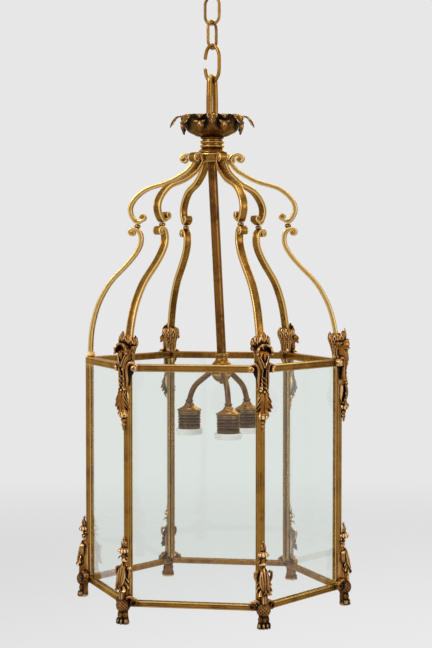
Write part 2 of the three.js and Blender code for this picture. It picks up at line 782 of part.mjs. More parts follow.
function lowerMount() {
  const base = -caseHeight;
  const stem = [
    [seatCorner + 2, base - 6],
    [seatCorner + 0.7 * kneeStandoff, base + 4],
    [seatCorner + kneeStandoff - kneeBarThickness / 2, base + 20],
    [seatCorner + 0.62 * kneeStandoff, base + 0.42 * kneeRise],
    [seatCorner + 4, base + 0.68 * kneeRise],
    [seatCorner + 3, base + 0.88 * kneeRise],
    [seatCorner + 5, base + kneeRise - 2],
  ];
  const stemHalf = [
    [base - 8, 1],
    [base + 12, 0.7],
    [base + 0.3 * kneeRise, 0.85],
    [base + 0.6 * kneeRise, 1],
    [base + 0.8 * kneeRise, 0.7],
    [base + kneeRise, 0.25],
  ];
  const leafBar = reshaped(bar(stem, 12, 2 * kneeHalfWidth, kneeBarThickness), ({ x, y, z }) => [
    x,
    y * along(stemHalf, z),
    z,
  ]);
  const backPad = block(
    [seatCorner - 3, -4, base + 0.55 * kneeRise],
    [seatCorner + 4, 4, base + 0.8 * kneeRise],
  );
  const bud = ball(4.6, [seatCorner + 8, 0, base + 0.72 * kneeRise], [1, 1, 1.3]);
  const knee = ball(kneeRadius, [seatCorner + kneeForward, 0, base - bottomRailHeight / 2], [1, 1.1, 1]);
  const pawHalf = [
    [base - pawDrop, 0.85 * kneeHalfWidth],
    [base - pawDrop + 9, kneeHalfWidth],
    [base - 14, 0.6 * kneeHalfWidth],
    [base - 4, 0.9 * kneeHalfWidth],
  ];
  const pawLean = [
    [base - pawDrop, 2],
    [base - pawDrop + 8, 1.5],
    [base - 14, -3],
    [base - 4, 0],
  ];
  const pawOut = [
    [base - pawDrop, pawReach - 4],
    [base - pawDrop + 7, pawReach - 2],
    [base - 14, 6],
    [base - 4, 8],
  ];
  const whole = join(
    solidOf(leafBar),
    solidOf(backPad),
    solidOf(bud),
    solidOf(knee),
    castBody(base - pawDrop, base - 4, pawHalf, pawOut, pawLean, 4),
    railVolutes(base - bottomRailHeight / 2),
  );
  return whole.subtract(frameSeat(lowerFrameBottom - clearance, base + kneeRise + 5));
}

const upperMountSolid = upperMount();
const lowerMountSolid = lowerMount();

// The six corners. The left one carries no upper mount.
const cornerNames = ["right", "back_right", "back_left", "left", "front_left", "front_right"];
cornerNames.forEach((corner, i) => {
  const group = new THREE.Group();
  group.rotation.z = i * sixth;
  lantern.add(group);
  piece(group, "upper_scroll_" + corner, geometryOf(upperScrollSolid), gilt);
  piece(group, "lower_scroll_" + corner, geometryOf(lowerScrollSolid), gilt);
  piece(group, "corner_post_" + corner, cornerPost(), gilt);
  if (corner !== "left") piece(group, "upper_mount_" + corner, geometryOf(upperMountSolid), gilt);
  piece(group, "lower_mount_" + corner, geometryOf(lowerMountSolid), gilt);
});

// Lamp cluster
const cluster = new THREE.Group();
cluster.position.x = clusterOffset;
lantern.add(cluster);

// The cluster's turned body, grown all round by a clearance where it serves as a cutter
function clusterProfile(grown) {
  const capBottom = clusterTop - clusterCapHeight;
  const bandBottom = capBottom - clusterBand;
  const bowl = [];
  for (let k = 0; k <= 5; k++) {
    const angle = (k / 5) * 90 * degree;
    const radius = (clusterRadius + grown) * Math.sin(angle);
    bowl.push([radius, bandBottom - (clusterBowl + grown) * Math.cos(angle)]);
  }
  return [
    ...bowl,
    [clusterRadius + grown, capBottom - 1.5],
    [clusterCapRadius + grown, capBottom + grown],
    [clusterCapRadius - 4 + grown, clusterTop - 0.55 * clusterCapHeight],
    [tubeRadius + 2 + grown, clusterTop + grown],
    [0, clusterTop + grown],
  ];
}

const clusterSolid = solidOf(turned(clusterProfile(0), 16));
const tubeSocket = leaningRound(tubeRadius + clearance, 0, tubeBottom - clearance, clusterTop + 8);
tubeSocket.translate(-clusterOffset, 0, 0);
piece(cluster, "cluster_body", geometryOf(clusterSolid.subtract(solidOf(tubeSocket))), gilt);

function lampArm() {
  const exit = clusterTop - clusterCapHeight - clusterBand + 1;
  const points = [
    [clusterRadius - 6, exit + 1],
    [clusterRadius + 4, exit - 4],
    [0.3 * clusterRadius + 0.5 * lampRadius, exit - 13],
    [lampRadius - 10, exit - 24],
    [lampRadius - 2.5, lampTop + 12],
    [lampRadius, lampTop + 2],
    [lampRadius, lampTop + clearance],
  ];
  const arm = solidOf(rod(radialCurve(points), lampArmRadius, 14));
  const below = block([0, -20, lampTop - 20], [lampRadius + 20, 20, lampTop + clearance]);
  return arm.subtract(solidOf(turned(clusterProfile(clearance), 16))).subtract(solidOf(below));
}

const lampArmSolid = lampArm();
const holderSides = 16;

function holderCap() {
  return turned(
    [
      [0, flangeBottom],
      [holderFlangeRadius, flangeBottom],
      [holderFlangeRadius, flangeBottom + holderFlangeThickness],
      [holderFlangeRadius - 8, flangeBottom + 0.42 * holderCapHeight],
      [lampArmRadius + 3, flangeBottom + 0.7 * holderCapHeight],
      [lampArmRadius + 1.2, lampTop],
      [0, lampTop],
    ],
    holderSides,
  );
}

function holderShell() {
  const roof = shellTop - shellRoof;
  const rim = shellBottom - shellSpigot;
  const beadRim = shellTop - shellBeadHeight;
  return turned(
    [
      [nippleHole, roof],
      [shellBore, roof],
      [shellBore, rim],
      [spigotRadius, rim],
      [spigotRadius, shellBottom],
      [shellRadius, shellBottom],
      [shellRadius, beadRim - shellBead],
      [shellRadius + shellBead, beadRim],
      [shellRadius + shellBead, shellTop],
      [nippleHole, shellTop],
      [nippleHole, roof],
    ],
    holderSides,
  );
}

const insertTop = shellTop - shellRoof - clearance;
const socketRoof = insertTop - insertRoof;

function holderInsert() {
  const bottom = shellBottom - shellSpigot;
  return turned(
    [
      [0, socketRoof],
      [socketRadius, socketRoof],
      [socketRadius, bottom],
      [insertRadius, bottom],
      [insertRadius, insertTop],
      [0, insertTop],
    ],
    holderSides,
  );
}

function porcelainRing() {
  const top = shellBottom - clearance;
  const lip = shellBottom - shellSpigot - clearance;
  const bottom = top - porcelainHeight;
  return turned(
    [
      [socketRadius, bottom],
      [ringOuterRadius - ringEdge, bottom],
      [ringOuterRadius, bottom + ringEdge],
      [ringOuterRadius, top - ringEdge],
      [ringOuterRadius - ringEdge, top],
      [ringSeat, top],
      [ringSeat, lip],
      [socketRadius, lip],
      [socketRadius, bottom],
    ],
    holderSides,
  );
}

for (let i = 0; i < lampCount; i++) {
  const arm = new THREE.Group();
  arm.rotation.z = (lampTurn - 90) * degree + (i * 360 * degree) / lampCount;
  cluster.add(arm);
  const holder = new THREE.Group();
  holder.position.x = lampRadius;
  arm.add(holder);
  const number = i + 1;
  piece(arm, "lamp_arm_" + number, geometryOf(lampArmSolid), gilt);
  piece(holder, "holder_cap_" + number, holderCap(), gilt);
  piece(holder, "holder_shell_" + number, holderShell(), bronze);
  piece(holder, "holder_insert_" + number, holderInsert(), porcelain);
  piece(holder, "porcelain_ring_" + number, porcelainRing(), porcelain);
}

export default part;
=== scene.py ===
import json
import math

import bpy
import numpy as np
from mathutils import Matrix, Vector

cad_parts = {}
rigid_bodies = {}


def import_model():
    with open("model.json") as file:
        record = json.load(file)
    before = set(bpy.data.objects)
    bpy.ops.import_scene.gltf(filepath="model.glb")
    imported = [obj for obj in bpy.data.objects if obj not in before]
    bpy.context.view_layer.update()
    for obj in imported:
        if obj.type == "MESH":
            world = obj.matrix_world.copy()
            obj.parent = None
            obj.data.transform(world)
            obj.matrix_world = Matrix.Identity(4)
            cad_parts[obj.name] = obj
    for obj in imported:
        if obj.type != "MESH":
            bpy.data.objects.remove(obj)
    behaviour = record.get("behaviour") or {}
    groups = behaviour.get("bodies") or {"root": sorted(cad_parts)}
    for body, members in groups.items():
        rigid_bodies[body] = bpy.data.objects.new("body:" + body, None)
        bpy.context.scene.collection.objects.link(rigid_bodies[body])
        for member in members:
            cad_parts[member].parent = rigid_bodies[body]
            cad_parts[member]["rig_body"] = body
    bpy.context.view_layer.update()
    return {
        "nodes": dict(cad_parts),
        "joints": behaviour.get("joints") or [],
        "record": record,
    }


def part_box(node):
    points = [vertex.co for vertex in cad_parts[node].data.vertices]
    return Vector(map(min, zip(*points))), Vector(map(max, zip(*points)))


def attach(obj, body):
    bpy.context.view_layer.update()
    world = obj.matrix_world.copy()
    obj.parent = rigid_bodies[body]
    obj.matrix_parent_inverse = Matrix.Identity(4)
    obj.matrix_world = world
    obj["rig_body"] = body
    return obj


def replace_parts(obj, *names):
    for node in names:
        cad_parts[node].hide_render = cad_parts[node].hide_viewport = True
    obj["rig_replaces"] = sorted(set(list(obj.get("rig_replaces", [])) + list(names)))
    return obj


# A hexagonal hanging lantern of gilt brass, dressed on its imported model. Shapes are worked out in
# millimetres, with heights from the top face of the upper frame, and become metres in makePiece().
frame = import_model()
scene = bpy.context.scene
mm = 0.001
tau = 2 * math.pi
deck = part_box("top_frame")[1].z / mm
slotOf = {row["node"]: row["material_slot"] for row in frame["record"]["subparts"]}
corners = ["right", "back_right", "back_left", "left", "front_left", "front_right"]


def span(node):  # lowest and highest corner of a CAD node, in millimetres
    low, high = (np.array(corner) / mm - [0, 0, deck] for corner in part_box(node))
    return low, high


def levels(node):  # its lowest and highest height
    low, high = span(node)
    return low[2], high[2]


# Camera, as the photograph was taken
view = {"place": (0.3856, -2.4235, -0.4171), "tilt": 87.81, "turn": 8.9, "lens": 86.4, "sensor": 36}
camera = bpy.data.objects.new("camera", bpy.data.cameras.new("camera"))
scene.collection.objects.link(camera)
camera.location = view["place"]
camera.rotation_euler = (math.radians(view["tilt"]), 0, math.radians(view["turn"]))
camera.data.lens = view["lens"]
camera.data.sensor_width = view["sensor"]
camera.data.clip_end = 100
scene.camera = camera
scene.view_settings.view_transform = "Standard"


# Lines and profiles
def cubic(knots, values, at):  # natural cubic: second derivatives from a banded system, zero at both ends
    gap = np.diff(knots)
    count = len(knots)
    inner = np.arange(1, count - 1)
    system = np.eye(count)
    system[inner, inner - 1] = gap[:-1]
    system[inner, inner] = 2 * (gap[:-1] + gap[1:])
    system[inner, inner + 1] = gap[1:]
    bend = np.zeros_like(values)
    bend[1:-1] = 6 * np.diff(np.diff(values, axis=0) / gap[:, None], axis=0)
    bend = np.linalg.solve(system, bend)
    k = np.clip(np.searchsorted(knots, at) - 1, 0, count - 2)
    size = gap[k][:, None]
    b = (at - knots[k])[:, None] / size
    a = 1 - b
    curve = (a**3 - a) * bend[k] + (b**3 - b) * bend[k + 1]
    return a * values[k] + b * values[k + 1] + curve * size**2 / 6


# A smooth line through a few points, read off at even steps of its length. The first columns are the
# place, and the others, such as a width, are carried along smoothly.
def through(points, count, places=2):
    points = np.asarray(points, float)
    chord = np.linalg.norm(np.diff(points[:, :places], axis=0), axis=1)
    knots = np.concatenate([[0], np.cumsum(np.sqrt(chord))])
    fine = cubic(knots, points, np.linspace(0, knots[-1], 40 * len(points)))
    steps = np.linalg.norm(np.diff(fine[:, :places], axis=0), axis=1)
    length = np.concatenate([[0], np.cumsum(steps)])
    even = np.linspace(0, length[-1], count)
    return np.stack([np.interp(even, length, column) for column in fine.T], axis=1)


# A polygon line with its corners rounded: each corner [x, y, radius] becomes a short parabola, and
# straight stretches are cut into steps.
def softened(points, step, bow=5):
    points = [list(map(float, p)) + [0] * (3 - len(p)) for p in points]
    line = [np.array(points[0][:2])]
    for before, here, after in zip(points, points[1:], points[2:]):
        p, q, r = (np.array(x[:2]) for x in (before, here, after))
        back, ahead = p - q, r - q
        lengths = np.linalg.norm(back), np.linalg.norm(ahead)
        cut = min(here[2], 0.49 * lengths[0], 0.49 * lengths[1])
        if cut <= 0:
            line.append(q)
            continue
        start, end = q + back / lengths[0] * cut, q + ahead / lengths[1] * cut
        for share in np.linspace(0, 1, bow):
            line.append((1 - share) ** 2 * start + 2 * share * (1 - share) * q + share**2 * end)
    line.append(np.array(points[-1][:2]))
    filled = [line[0]]
    for a, b in zip(line, line[1:]):
        parts = max(1, math.ceil(np.linalg.norm(b - a) / step))
        filled += [a + (b - a) * (i + 1) / parts for i in range(parts)]
    return np.array(filled)


def raised(points, level):  # points [x, height, ...] whose heights are given from a level
    return [[point[0], point[1] + level, *point[2:]] for point in points]


def eased(x, low, high):  # smooth step from 0 at low to 1 at high
    share = np.clip((x - low) / (high - low), 0, 1)
    return share * share * (3 - 2 * share)


# Grids: rows of points along a piece, columns round it
def lathe(profile, count, flute=None):  # each profile point carried round the z axis
    profile = np.asarray(profile, float)
    angle = np.arange(count) / count * tau
    radius = profile[:, :1] * np.ones(count)
    height = profile[:, 1:2] * np.ones(count)
    if flute is not None:
        radius, height = flute(radius, height, angle[None, :])
    return np.stack([radius * np.cos(angle), radius * np.sin(angle), height], axis=2)


def unit(vectors):
    return vectors / np.linalg.norm(vectors, axis=-1, keepdims=True)


# A rod: circles of a given radius square to a line, set out from one fixed side direction so that they
# don't twist
def rod(line, radius, side, count):
    tangent = unit(np.gradient(line, axis=0))
    right = unit(np.cross(tangent, side))
    up = np.cross(right, tangent)
    angle = np.arange(count) / count * tau
    radius = np.broadcast_to(np.asarray(radius, float), len(line))[:, None, None]
    ring = right[:, None, :] * np.cos(angle)[None, :, None] + up[:, None, :] * np.sin(angle)[None, :, None]
    return line[:, None, :] + radius * ring


# A strap in the radial plane. The line's columns are radius, height, thickness and width, and the
# section's are across and up, both as shares of a half.
def strap(line, section):
    tangent = unit(np.gradient(line[:, :2], axis=0))
    normal = np.stack([-tangent[:, 1], tangent[:, 0]], axis=1)
    up = section[None, :, 1] * line[:, 2:3] / 2
    across = section[None, :, 0] * line[:, 3:4] / 2
    radius = line[:, 0:1] + normal[:, 0:1] * up
    height = line[:, 1:2] + normal[:, 1:2] * up
    return np.stack([radius, across, height], axis=2)


# Section of a strap: flat sides, round corners, and on both faces a bead along each edge with a groove
# inside it
def reededSection(groove, bead, inner):
    across = np.linspace(-0.93, 0.93, 23)
    dip = groove * np.exp(-(((np.abs(across) - inner) / 0.09) ** 2))
    swell = 0.07 * (across / inner) ** 2 * (np.abs(across) < inner)
    crest = 1 - dip - swell - 0.10 * eased(np.abs(across), bead, 1)
    top = np.stack([across, crest], axis=1)
    edge = np.array([[0.985, 0.72], [1, 0.4], [1, 0], [1, -0.4], [0.985, -0.72]])
    return np.concatenate([top, edge, -top, -edge])


plainSection = np.array([[math.copysign(abs(math.cos(a)) ** 0.45, math.cos(a)),
                          math.copysign(abs(math.sin(a)) ** 0.45, math.sin(a))]
                         for a in np.linspace(0, tau, 25)[:-1]])


# A strap rolled up: the angle turns from the outer end to the eye while the outer edge closes in by one
# thickness and a gap each turn
def rolled(centre, outer, start, sense, turns, thick, width, gap=0.25, steps=26):
    share = np.linspace(0, 1, steps)
    thickness = thick[0] + (thick[1] - thick[0]) * share
    edge = outer - turns * share * (0.5 * (thick[0] + thickness) + gap)
    angle = math.radians(start) + sense * tau * turns * share
    radius = edge - thickness / 2
    return np.stack([centre[0] + radius * np.cos(angle), centre[1] + radius * np.sin(angle),
                     thickness, np.full(steps, float(width))], axis=1)


def eye(centre, radius, half, dome=1.6):  # the button in the middle of a roll, its axis across the strap
    upper = [[radius, half - 0.2, 0.6], [radius * 0.7, half + dome * 0.75, 1.2], [0, half + dome]]
    lower = [[x, -y, *rest] for x, y, *rest in reversed(upper)]
    button = lathe(softened(lower + upper, 1), 22)
    return np.stack([button[..., 0] + centre[0], button[..., 2], button[..., 1] + centre[1]], axis=2)


# Shells: closed surfaces. Each open end of a grid closes to a point, and faces are turned outwards by the
# sign of the volume that they hold.
def shell(grid, loop=False):
    poles = [grid[0].mean(axis=0), grid[-1].mean(axis=0)]
    if not loop:
        grid = grid[np.ptp(grid, axis=1).max(axis=1) > 1e-3]
    rows, columns = grid.shape[:2]
    points = grid.reshape(-1, 3)
    index = np.arange(rows * columns).reshape(rows, columns)
    ring = np.vstack([index, index[:1]]) if loop else index
    beside = np.roll(ring, -1, axis=1)
    quads = np.stack([ring[:-1], ring[1:], beside[1:], beside[:-1]], axis=-1).reshape(-1, 4)
    tris = np.zeros((0, 3), int)
    if not loop:
        first = np.full(columns, len(points))
        tris = np.vstack([np.stack([first, index[0], np.roll(index[0], -1)], axis=-1),
                          np.stack([first + 1, np.roll(index[-1], -1), index[-1]], axis=-1)])
        points = np.vstack([points, poles])
    a, b, c = (points[np.concatenate([quads[:, i], quads[:, j], tris[:, k]])]
               for i, j, k in ((0, 0, 0), (1, 2, 1), (2, 3, 2)))
    if np.einsum("ij,ij->", a, np.cross(b, c)) < 0:
        quads, tris = quads[:, ::-1], tris[:, ::-1]
    return points, quads, tris


def shellsOf(*grids):
    return [shell(grid) for grid in grids]


def shifted(shells, turn=0, offset=(0, 0, 0)):  # turned about the z axis by degrees, then moved
    c, s = math.cos(math.radians(turn)), math.sin(math.radians(turn))
    matrix = np.array([[c, -s, 0], [s, c, 0], [0, 0, 1]])
    return [(points @ matrix.T + offset, quads, tris) for points, quads, tris in shells]


# Relief: how far each point stands out of, or lies below, a smoothed copy of the surface, as a share of
# a reach in millimetres. The finishes make edges and beads bright with rubbing and a painted highlight,
# and grooves dark with dirt and painted shade.
def averager(points, quads, tris):  # mean of each point's neighbours, where near ones count for more
    pairs = np.concatenate([quads[:, [0, 1]], quads[:, [1, 2]], quads[:, [2, 3]], quads[:, [3, 0]],
                            tris[:, [0, 1]], tris[:, [1, 2]], tris[:, [2, 0]]])
    near = 1 / (np.sum((points[pairs[:, 0]] - points[pairs[:, 1]]) ** 2, axis=1) + 0.01)
    weight = np.bincount(pairs[:, 0], near, len(points)) + np.bincount(pairs[:, 1], near, len(points))

    def neighbours(values):
        total = [np.bincount(pairs[:, 0], near * values[pairs[:, 1], k], len(points)) +
                 np.bincount(pairs[:, 1], near * values[pairs[:, 0], k], len(points))
                 for k in range(values.shape[1])]
        return np.stack(total, axis=1) / weight[:, None]
    return neighbours


def normalsOf(points, quads, tris):  # mean direction of the faces round each point
    faces = np.vstack([quads[:, :3], tris])
    across = np.cross(points[faces[:, 1]] - points[faces[:, 0]], points[faces[:, 2]] - points[faces[:, 0]])
    total = [sum(np.bincount(faces[:, c], across[:, k], len(points)) for c in range(3)) for k in range(3)]
    normal = np.stack(total, axis=1)
    return normal / (np.linalg.norm(normal, axis=1, keepdims=True) + 1e-12)


def reliefOf(points, quads, tris, reach, rounds=7):
    neighbours = averager(points, quads, tris)
    smooth = points
    for _ in range(rounds):
        smooth = 0.4 * smooth + 0.6 * neighbours(smooth)
    height = np.einsum("ij,ij->i", points - smooth, normalsOf(points, quads, tris))[:, None] / reach
    return np.tanh(0.5 * height + 0.5 * neighbours(height))[:, 0]


# Hidden: the share of the space in front of each point that other metal takes up, which the finishes use
# to paint shade into the colour. The surface is counted into cells, a box blur spreads the count, and each
# point reads the blur a few steps out along its normal.
def boxed(filled, reach):
    for axis in range(3):
        total = np.cumsum(filled, axis=axis)
        filled = (np.roll(total, -reach, axis) - np.roll(total, reach + 1, axis)) / (2 * reach + 1)
    return filled


def hiddenOf(points, quads, tris, cell):
    normal = normalsOf(points, quads, tris)
    middles = [(points[quads[:, i]] + points[quads[:, j]]) / 2 for i, j in ((0, 1), (1, 2), (0, 2))]
    low = points.min(axis=0) - 14 * cell
    filled = np.zeros(np.ceil(np.ptp(points, axis=0) / cell).astype(int) + 28)
    filled[tuple(((np.vstack([points] + middles) - low) / cell).astype(int).T)] = 1
    hidden = np.zeros((len(points), 1))
    for distance, reach, share in ((2.2, 1, 0.4), (4.2, 2, 0.35), (7.5, 4, 0.25)):
        at = tuple(((points + distance * cell * normal - low) / cell).astype(int).T)
        hidden[:, 0] += share * np.clip(boxed(filled, reach)[at] * (2 * reach + 1), 0, 1)
    neighbours = averager(points, quads, tris)
    for _ in range(3):
        hidden = 0.4 * hidden + 0.6 * neighbours(hidden)
    return hidden[:, 0]


def joined(shells):
    starts = np.cumsum([0] + [len(s[0]) for s in shells])
    points = np.vstack([s[0] for s in shells])
    quads = np.vstack([s[1] + start for s, start in zip(shells, starts)])
    tris = np.vstack([s[2] + start for s, start in zip(shells, starts)])
    return points, quads, tris


def makePiece(name, shells, nodes, sharp=50, reach=0.25, hidden=None, finish=None):
    points, quads, tris = joined(shells)
    if hidden is None:
        hidden = np.zeros(len(points))
    mesh = bpy.data.meshes.new(name)
    mesh.vertices.add(len(points))
    mesh.vertices.foreach_set("co", ((points + [0, 0, deck]) * mm).ravel())
    mesh.loops.add(quads.size + tris.size)
    mesh.loops.foreach_set("vertex_index", np.concatenate([quads.ravel(), tris.ravel()]))
    mesh.polygons.add(len(quads) + len(tris))
    mesh.polygons.foreach_set("loop_start", np.concatenate([4 * np.arange(len(quads)),
                                                            quads.size + 3 * np.arange(len(tris))]))
    mesh.update(calc_edges=True)
    mesh.polygons.foreach_set("use_smooth", np.ones(len(mesh.polygons), bool))
    mesh.set_sharp_from_angle(angle=math.radians(sharp))
    relief = mesh.attributes.new("relief", "FLOAT", "POINT")
    relief.data.foreach_set("value", reliefOf(points, quads, tris, reach).astype(np.float32))
    cover = mesh.attributes.new("hidden", "FLOAT", "POINT")
    cover.data.foreach_set("value", hidden.astype(np.float32))
    piece = bpy.data.objects.new(name, mesh)
    scene.collection.objects.link(piece)
    slot = slotOf[nodes[0]]
    mesh.materials.append(finishes[finish or slot])
    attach(piece, frame["nodes"][nodes[0]]["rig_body"])
    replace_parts(piece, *nodes)
    return piece


# Shader nodes: made in one call, with sockets linked or set by name or number
def node(tree, kind, inputs=None, **settings):
    made = tree.nodes.new("ShaderNode" + kind)
    for key, value in settings.items():
        setattr(made, key, value)
    for key, value in (inputs or {}).items():
        if isinstance(value, bpy.types.NodeSocket):
            tree.links.new(value, made.inputs[key])
        else:
            made.inputs[key].default_value = value
    return made


def maths(tree, operation, a, b, clamp=False):
    return node(tree, "Math", {0: a, 1: b}, operation=operation, use_clamp=clamp).outputs[0]


def plus(tree, a, b, clamp=False):
    return maths(tree, "ADD", a, b, clamp)


def minus(tree, a, b):
    return maths(tree, "SUBTRACT", a, b)


def times(tree, a, b):
    return maths(tree, "MULTIPLY", a, b)


def larger(tree, a, b):
    return maths(tree, "MAXIMUM", a, b)


def noise(tree, vector, scale, detail=3, rough=0.55):
    made = node(tree, "TexNoise", {"Vector": vector, "Scale": scale, "Detail": detail, "Roughness": rough})
    return made.outputs["Fac"]


def remap(tree, value, low, high, new=(0, 1)):  # smooth step of a value to a new range
    made = node(tree, "MapRange", {"Value": value, "From Min": low, "From Max": high,
                                   "To Min": new[0], "To Max": new[1]}, interpolation_type="SMOOTHSTEP")
    return made.outputs["Result"]


def blend(tree, share, first, second):
    return node(tree, "Mix", {0: share, 6: first, 7: second}, data_type="RGBA").outputs[2]


def colour(r, g, b):
    return (r, g, b, 1)


def newGroup(name, inputs, outputs):
    tree = bpy.data.node_groups.new(name, "ShaderNodeTree")
    for label, kind, value in inputs:
        socket = tree.interface.new_socket(label, in_out="INPUT", socket_type=kind)
        if value is not None:
            socket.default_value = value
    for label, kind in outputs:
        tree.interface.new_socket(label, in_out="OUTPUT", socket_type=kind)
    return tree, tree.nodes.new("NodeGroupInput"), tree.nodes.new("NodeGroupOutput")


# Aged metal with painted light: mottled flats; dirt and painted shade in what lies low and where other
# metal hides a point; rubbing and a painted highlight on what stands proud; with the roughness and the
# fine height that go with them
wornAndLitSettings = {
    "broad": 26, "patches": 130, "grain": 1500, "broadShare": 0.55, "ragged": 0.32,
    "tarnish": (0.44, 0.62), "dark": (0.12, 0.62), "low": (0.10, 0.62), "proud": (0.2, 0.75),
    "rubbingAndHighlight": 0.85, "roughTarnish": 0.14, "roughLow": 0.25, "roughGrain": 0.10, "grainHeight": 0.35}


def wornAndLitMetalGroup():
    tree, given, out = newGroup(
        "wornAndLitMetal",
        [("Vector", "NodeSocketVector", None), ("Relief", "NodeSocketFloat", 0),
         ("Hidden", "NodeSocketFloat", 0), ("Flat", "NodeSocketColor", colour(0.4, 0.22, 0.05)),
         ("Tarnish", "NodeSocketColor", colour(0.2, 0.1, 0.03)),
         ("Recess", "NodeSocketColor", colour(0.03, 0.015, 0.006)),
         ("Edge", "NodeSocketColor", colour(0.8, 0.6, 0.3)), ("Smooth", "NodeSocketFloat", 0.32)],
        [("Color", "NodeSocketColor"), ("Metallic", "NodeSocketFloat"), ("Roughness", "NodeSocketFloat"),
         ("Height", "NodeSocketFloat")])
    place, relief, hidden = (given.outputs[label] for label in ("Vector", "Relief", "Hidden"))
    broad = noise(tree, place, wornAndLitSettings["broad"], 4)
    patches = noise(tree, place, wornAndLitSettings["patches"], 5, 0.62)
    grain = noise(tree, place, wornAndLitSettings["grain"], 3, 0.6)
    share = wornAndLitSettings["broadShare"]
    cloud = plus(tree, times(tree, broad, share), times(tree, patches, 1 - share))
    tarnish = remap(tree, cloud, *wornAndLitSettings["tarnish"])
    body = blend(tree, tarnish, given.outputs["Flat"], given.outputs["Tarnish"])
    ragged = times(tree, minus(tree, patches, 0.5), wornAndLitSettings["ragged"])
    # painted shade where other metal hides a point, from the hidden share
    dark = remap(tree, plus(tree, hidden, ragged), *wornAndLitSettings["dark"])
    # dirt and painted shade in grooves, joined with the painted shade above
    low = larger(tree, remap(tree, minus(tree, ragged, relief), *wornAndLitSettings["low"]), dark)
    proud = remap(tree, minus(tree, plus(tree, relief, ragged), hidden), *wornAndLitSettings["proud"])
    dirtAndShade = blend(tree, low, body, given.outputs["Recess"])
    # rubbing and a painted highlight on edges and beads
    rubbingAndHighlight = blend(tree, times(tree, proud, wornAndLitSettings["rubbingAndHighlight"]), dirtAndShade, given.outputs["Edge"])
    rough = plus(tree, given.outputs["Smooth"], times(tree, tarnish, wornAndLitSettings["roughTarnish"]))
    rough = plus(tree, rough, times(tree, low, wornAndLitSettings["roughLow"]))
    rough = plus(tree, rough, times(tree, minus(tree, grain, 0.5), wornAndLitSettings["roughGrain"]), True)
    tall = plus(tree, times(tree, grain, wornAndLitSettings["grainHeight"]), times(tree, patches, 1))
    links = {"Color": rubbingAndHighlight, "Metallic": remap(tree, low, 0, 1, (1, 0.75)),
             "Roughness": rough, "Height": tall}
    for label, socket in links.items():
        tree.links.new(socket, out.inputs[label])
    return tree


wornAndLitMetal = wornAndLitMetalGroup()


def newMaterial(name):
    material = bpy.data.materials.new(name)
    material.use_nodes = True
    tree = material.node_tree
    tree.nodes.clear()
    place = node(tree, "TexCoord").outputs["Object"]
    return material, tree, place


def finishedBy(tree, shader):
    node(tree, "OutputMaterial", {"Surface": shader})


def metal(name, flat, tarnish, recess, edge, smooth, bump=0.35):
    material, tree, place = newMaterial(name)
    # the group adds dirt with painted shade in recesses, and rubbing with a painted highlight on edges
    wornAndLitNode = node(tree, "Group", node_tree=wornAndLitMetal)
    tree.links.new(place, wornAndLitNode.inputs["Vector"])
    for label, attribute in (("Relief", "relief"), ("Hidden", "hidden")):
        tree.links.new(node(tree, "Attribute", attribute_name=attribute).outputs["Fac"], wornAndLitNode.inputs[label])
    for label, value in (("Flat", flat), ("Tarnish", tarnish), ("Recess", recess), ("Edge", edge)):
        wornAndLitNode.inputs[label].default_value = colour(*value)
    wornAndLitNode.inputs["Smooth"].default_value = smooth
    fine = node(tree, "Bump", {"Height": wornAndLitNode.outputs["Height"], "Strength": bump, "Distance": 0.0004})
    shader = node(tree, "BsdfPrincipled", {
        "Base Color": wornAndLitNode.outputs["Color"], "Metallic": wornAndLitNode.outputs["Metallic"],
        "Roughness": wornAndLitNode.outputs["Roughness"], "Normal": fine.outputs["Normal"],
        "Specular Tint": colour(0.95, 0.76, 0.50)})  # brass stays yellow where it is seen edge-on
    finishedBy(tree, shader.outputs[0])
    return material


def porcelainFinish():
    material, tree, place = newMaterial("whitePorcelain")
    relief = node(tree, "Attribute", attribute_name="relief").outputs["Fac"]
    patches = noise(tree, place, 90, 4)
    # darker brown in the grooves and in random patches
    grooveDarkening = remap(tree, minus(tree, times(tree, patches, 0.5), relief), 0.32, 0.85, (0, 0.6))
    mottled = remap(tree, patches, 0.4, 0.7, (0, 0.35))
    body = blend(tree, mottled, colour(0.90, 0.885, 0.845), colour(0.82, 0.79, 0.71))
    shade = blend(tree, grooveDarkening, body, colour(0.30, 0.24, 0.16))
    fine = noise(tree, place, 240, 2)
    ripple = node(tree, "Bump", {"Height": fine, "Strength": 0.12, "Distance": 0.0005})
    shader = node(tree, "BsdfPrincipled", {
        "Base Color": shade, "Roughness": remap(tree, patches, 0.3, 0.7, (0.16, 0.3)),
        "Coat Weight": 0.4, "Coat Roughness": 0.08, "Normal": ripple.outputs["Normal"]})
    finishedBy(tree, shader.outputs[0])
    return material


# Clear old glass: faint smears and dust on a smooth sheet. Light that only crosses it on its way to a
# surface goes straight through.
def glassFinish():
    material, tree, place = newMaterial("clearGlass")
    smears = noise(tree, node(tree, "Mapping", {"Vector": place, "Scale": (1, 1, 0.35)}).outputs[0], 22, 4)
    specks = remap(tree, noise(tree, place, 420, 2), 0.66, 0.76)
    film = times(tree, remap(tree, smears, 0.45, 0.75), 0.05)
    rough = plus(tree, film, times(tree, specks, 0.12), True)
    wave = node(tree, "Bump", {"Height": noise(tree, place, 14, 1), "Strength": 0.05, "Distance": 0.002})
    body = blend(tree, specks, colour(0.945, 0.975, 0.955), colour(0.86, 0.87, 0.82))
    sheet = node(tree, "BsdfPrincipled", {
        "Base Color": body, "Roughness": rough, "IOR": 1.36, "Transmission Weight": 1,
        "Normal": wave.outputs["Normal"]})
    path = node(tree, "LightPath")
    passing = larger(tree, path.outputs["Is Shadow Ray"], path.outputs["Is Diffuse Ray"])
    clear = node(tree, "BsdfTransparent", {"Color": colour(0.94, 0.96, 0.95)})
    both = node(tree, "MixShader", {0: passing, 1: sheet.outputs[0], 2: clear.outputs[0]})
    finishedBy(tree, both.outputs[0])
    return material


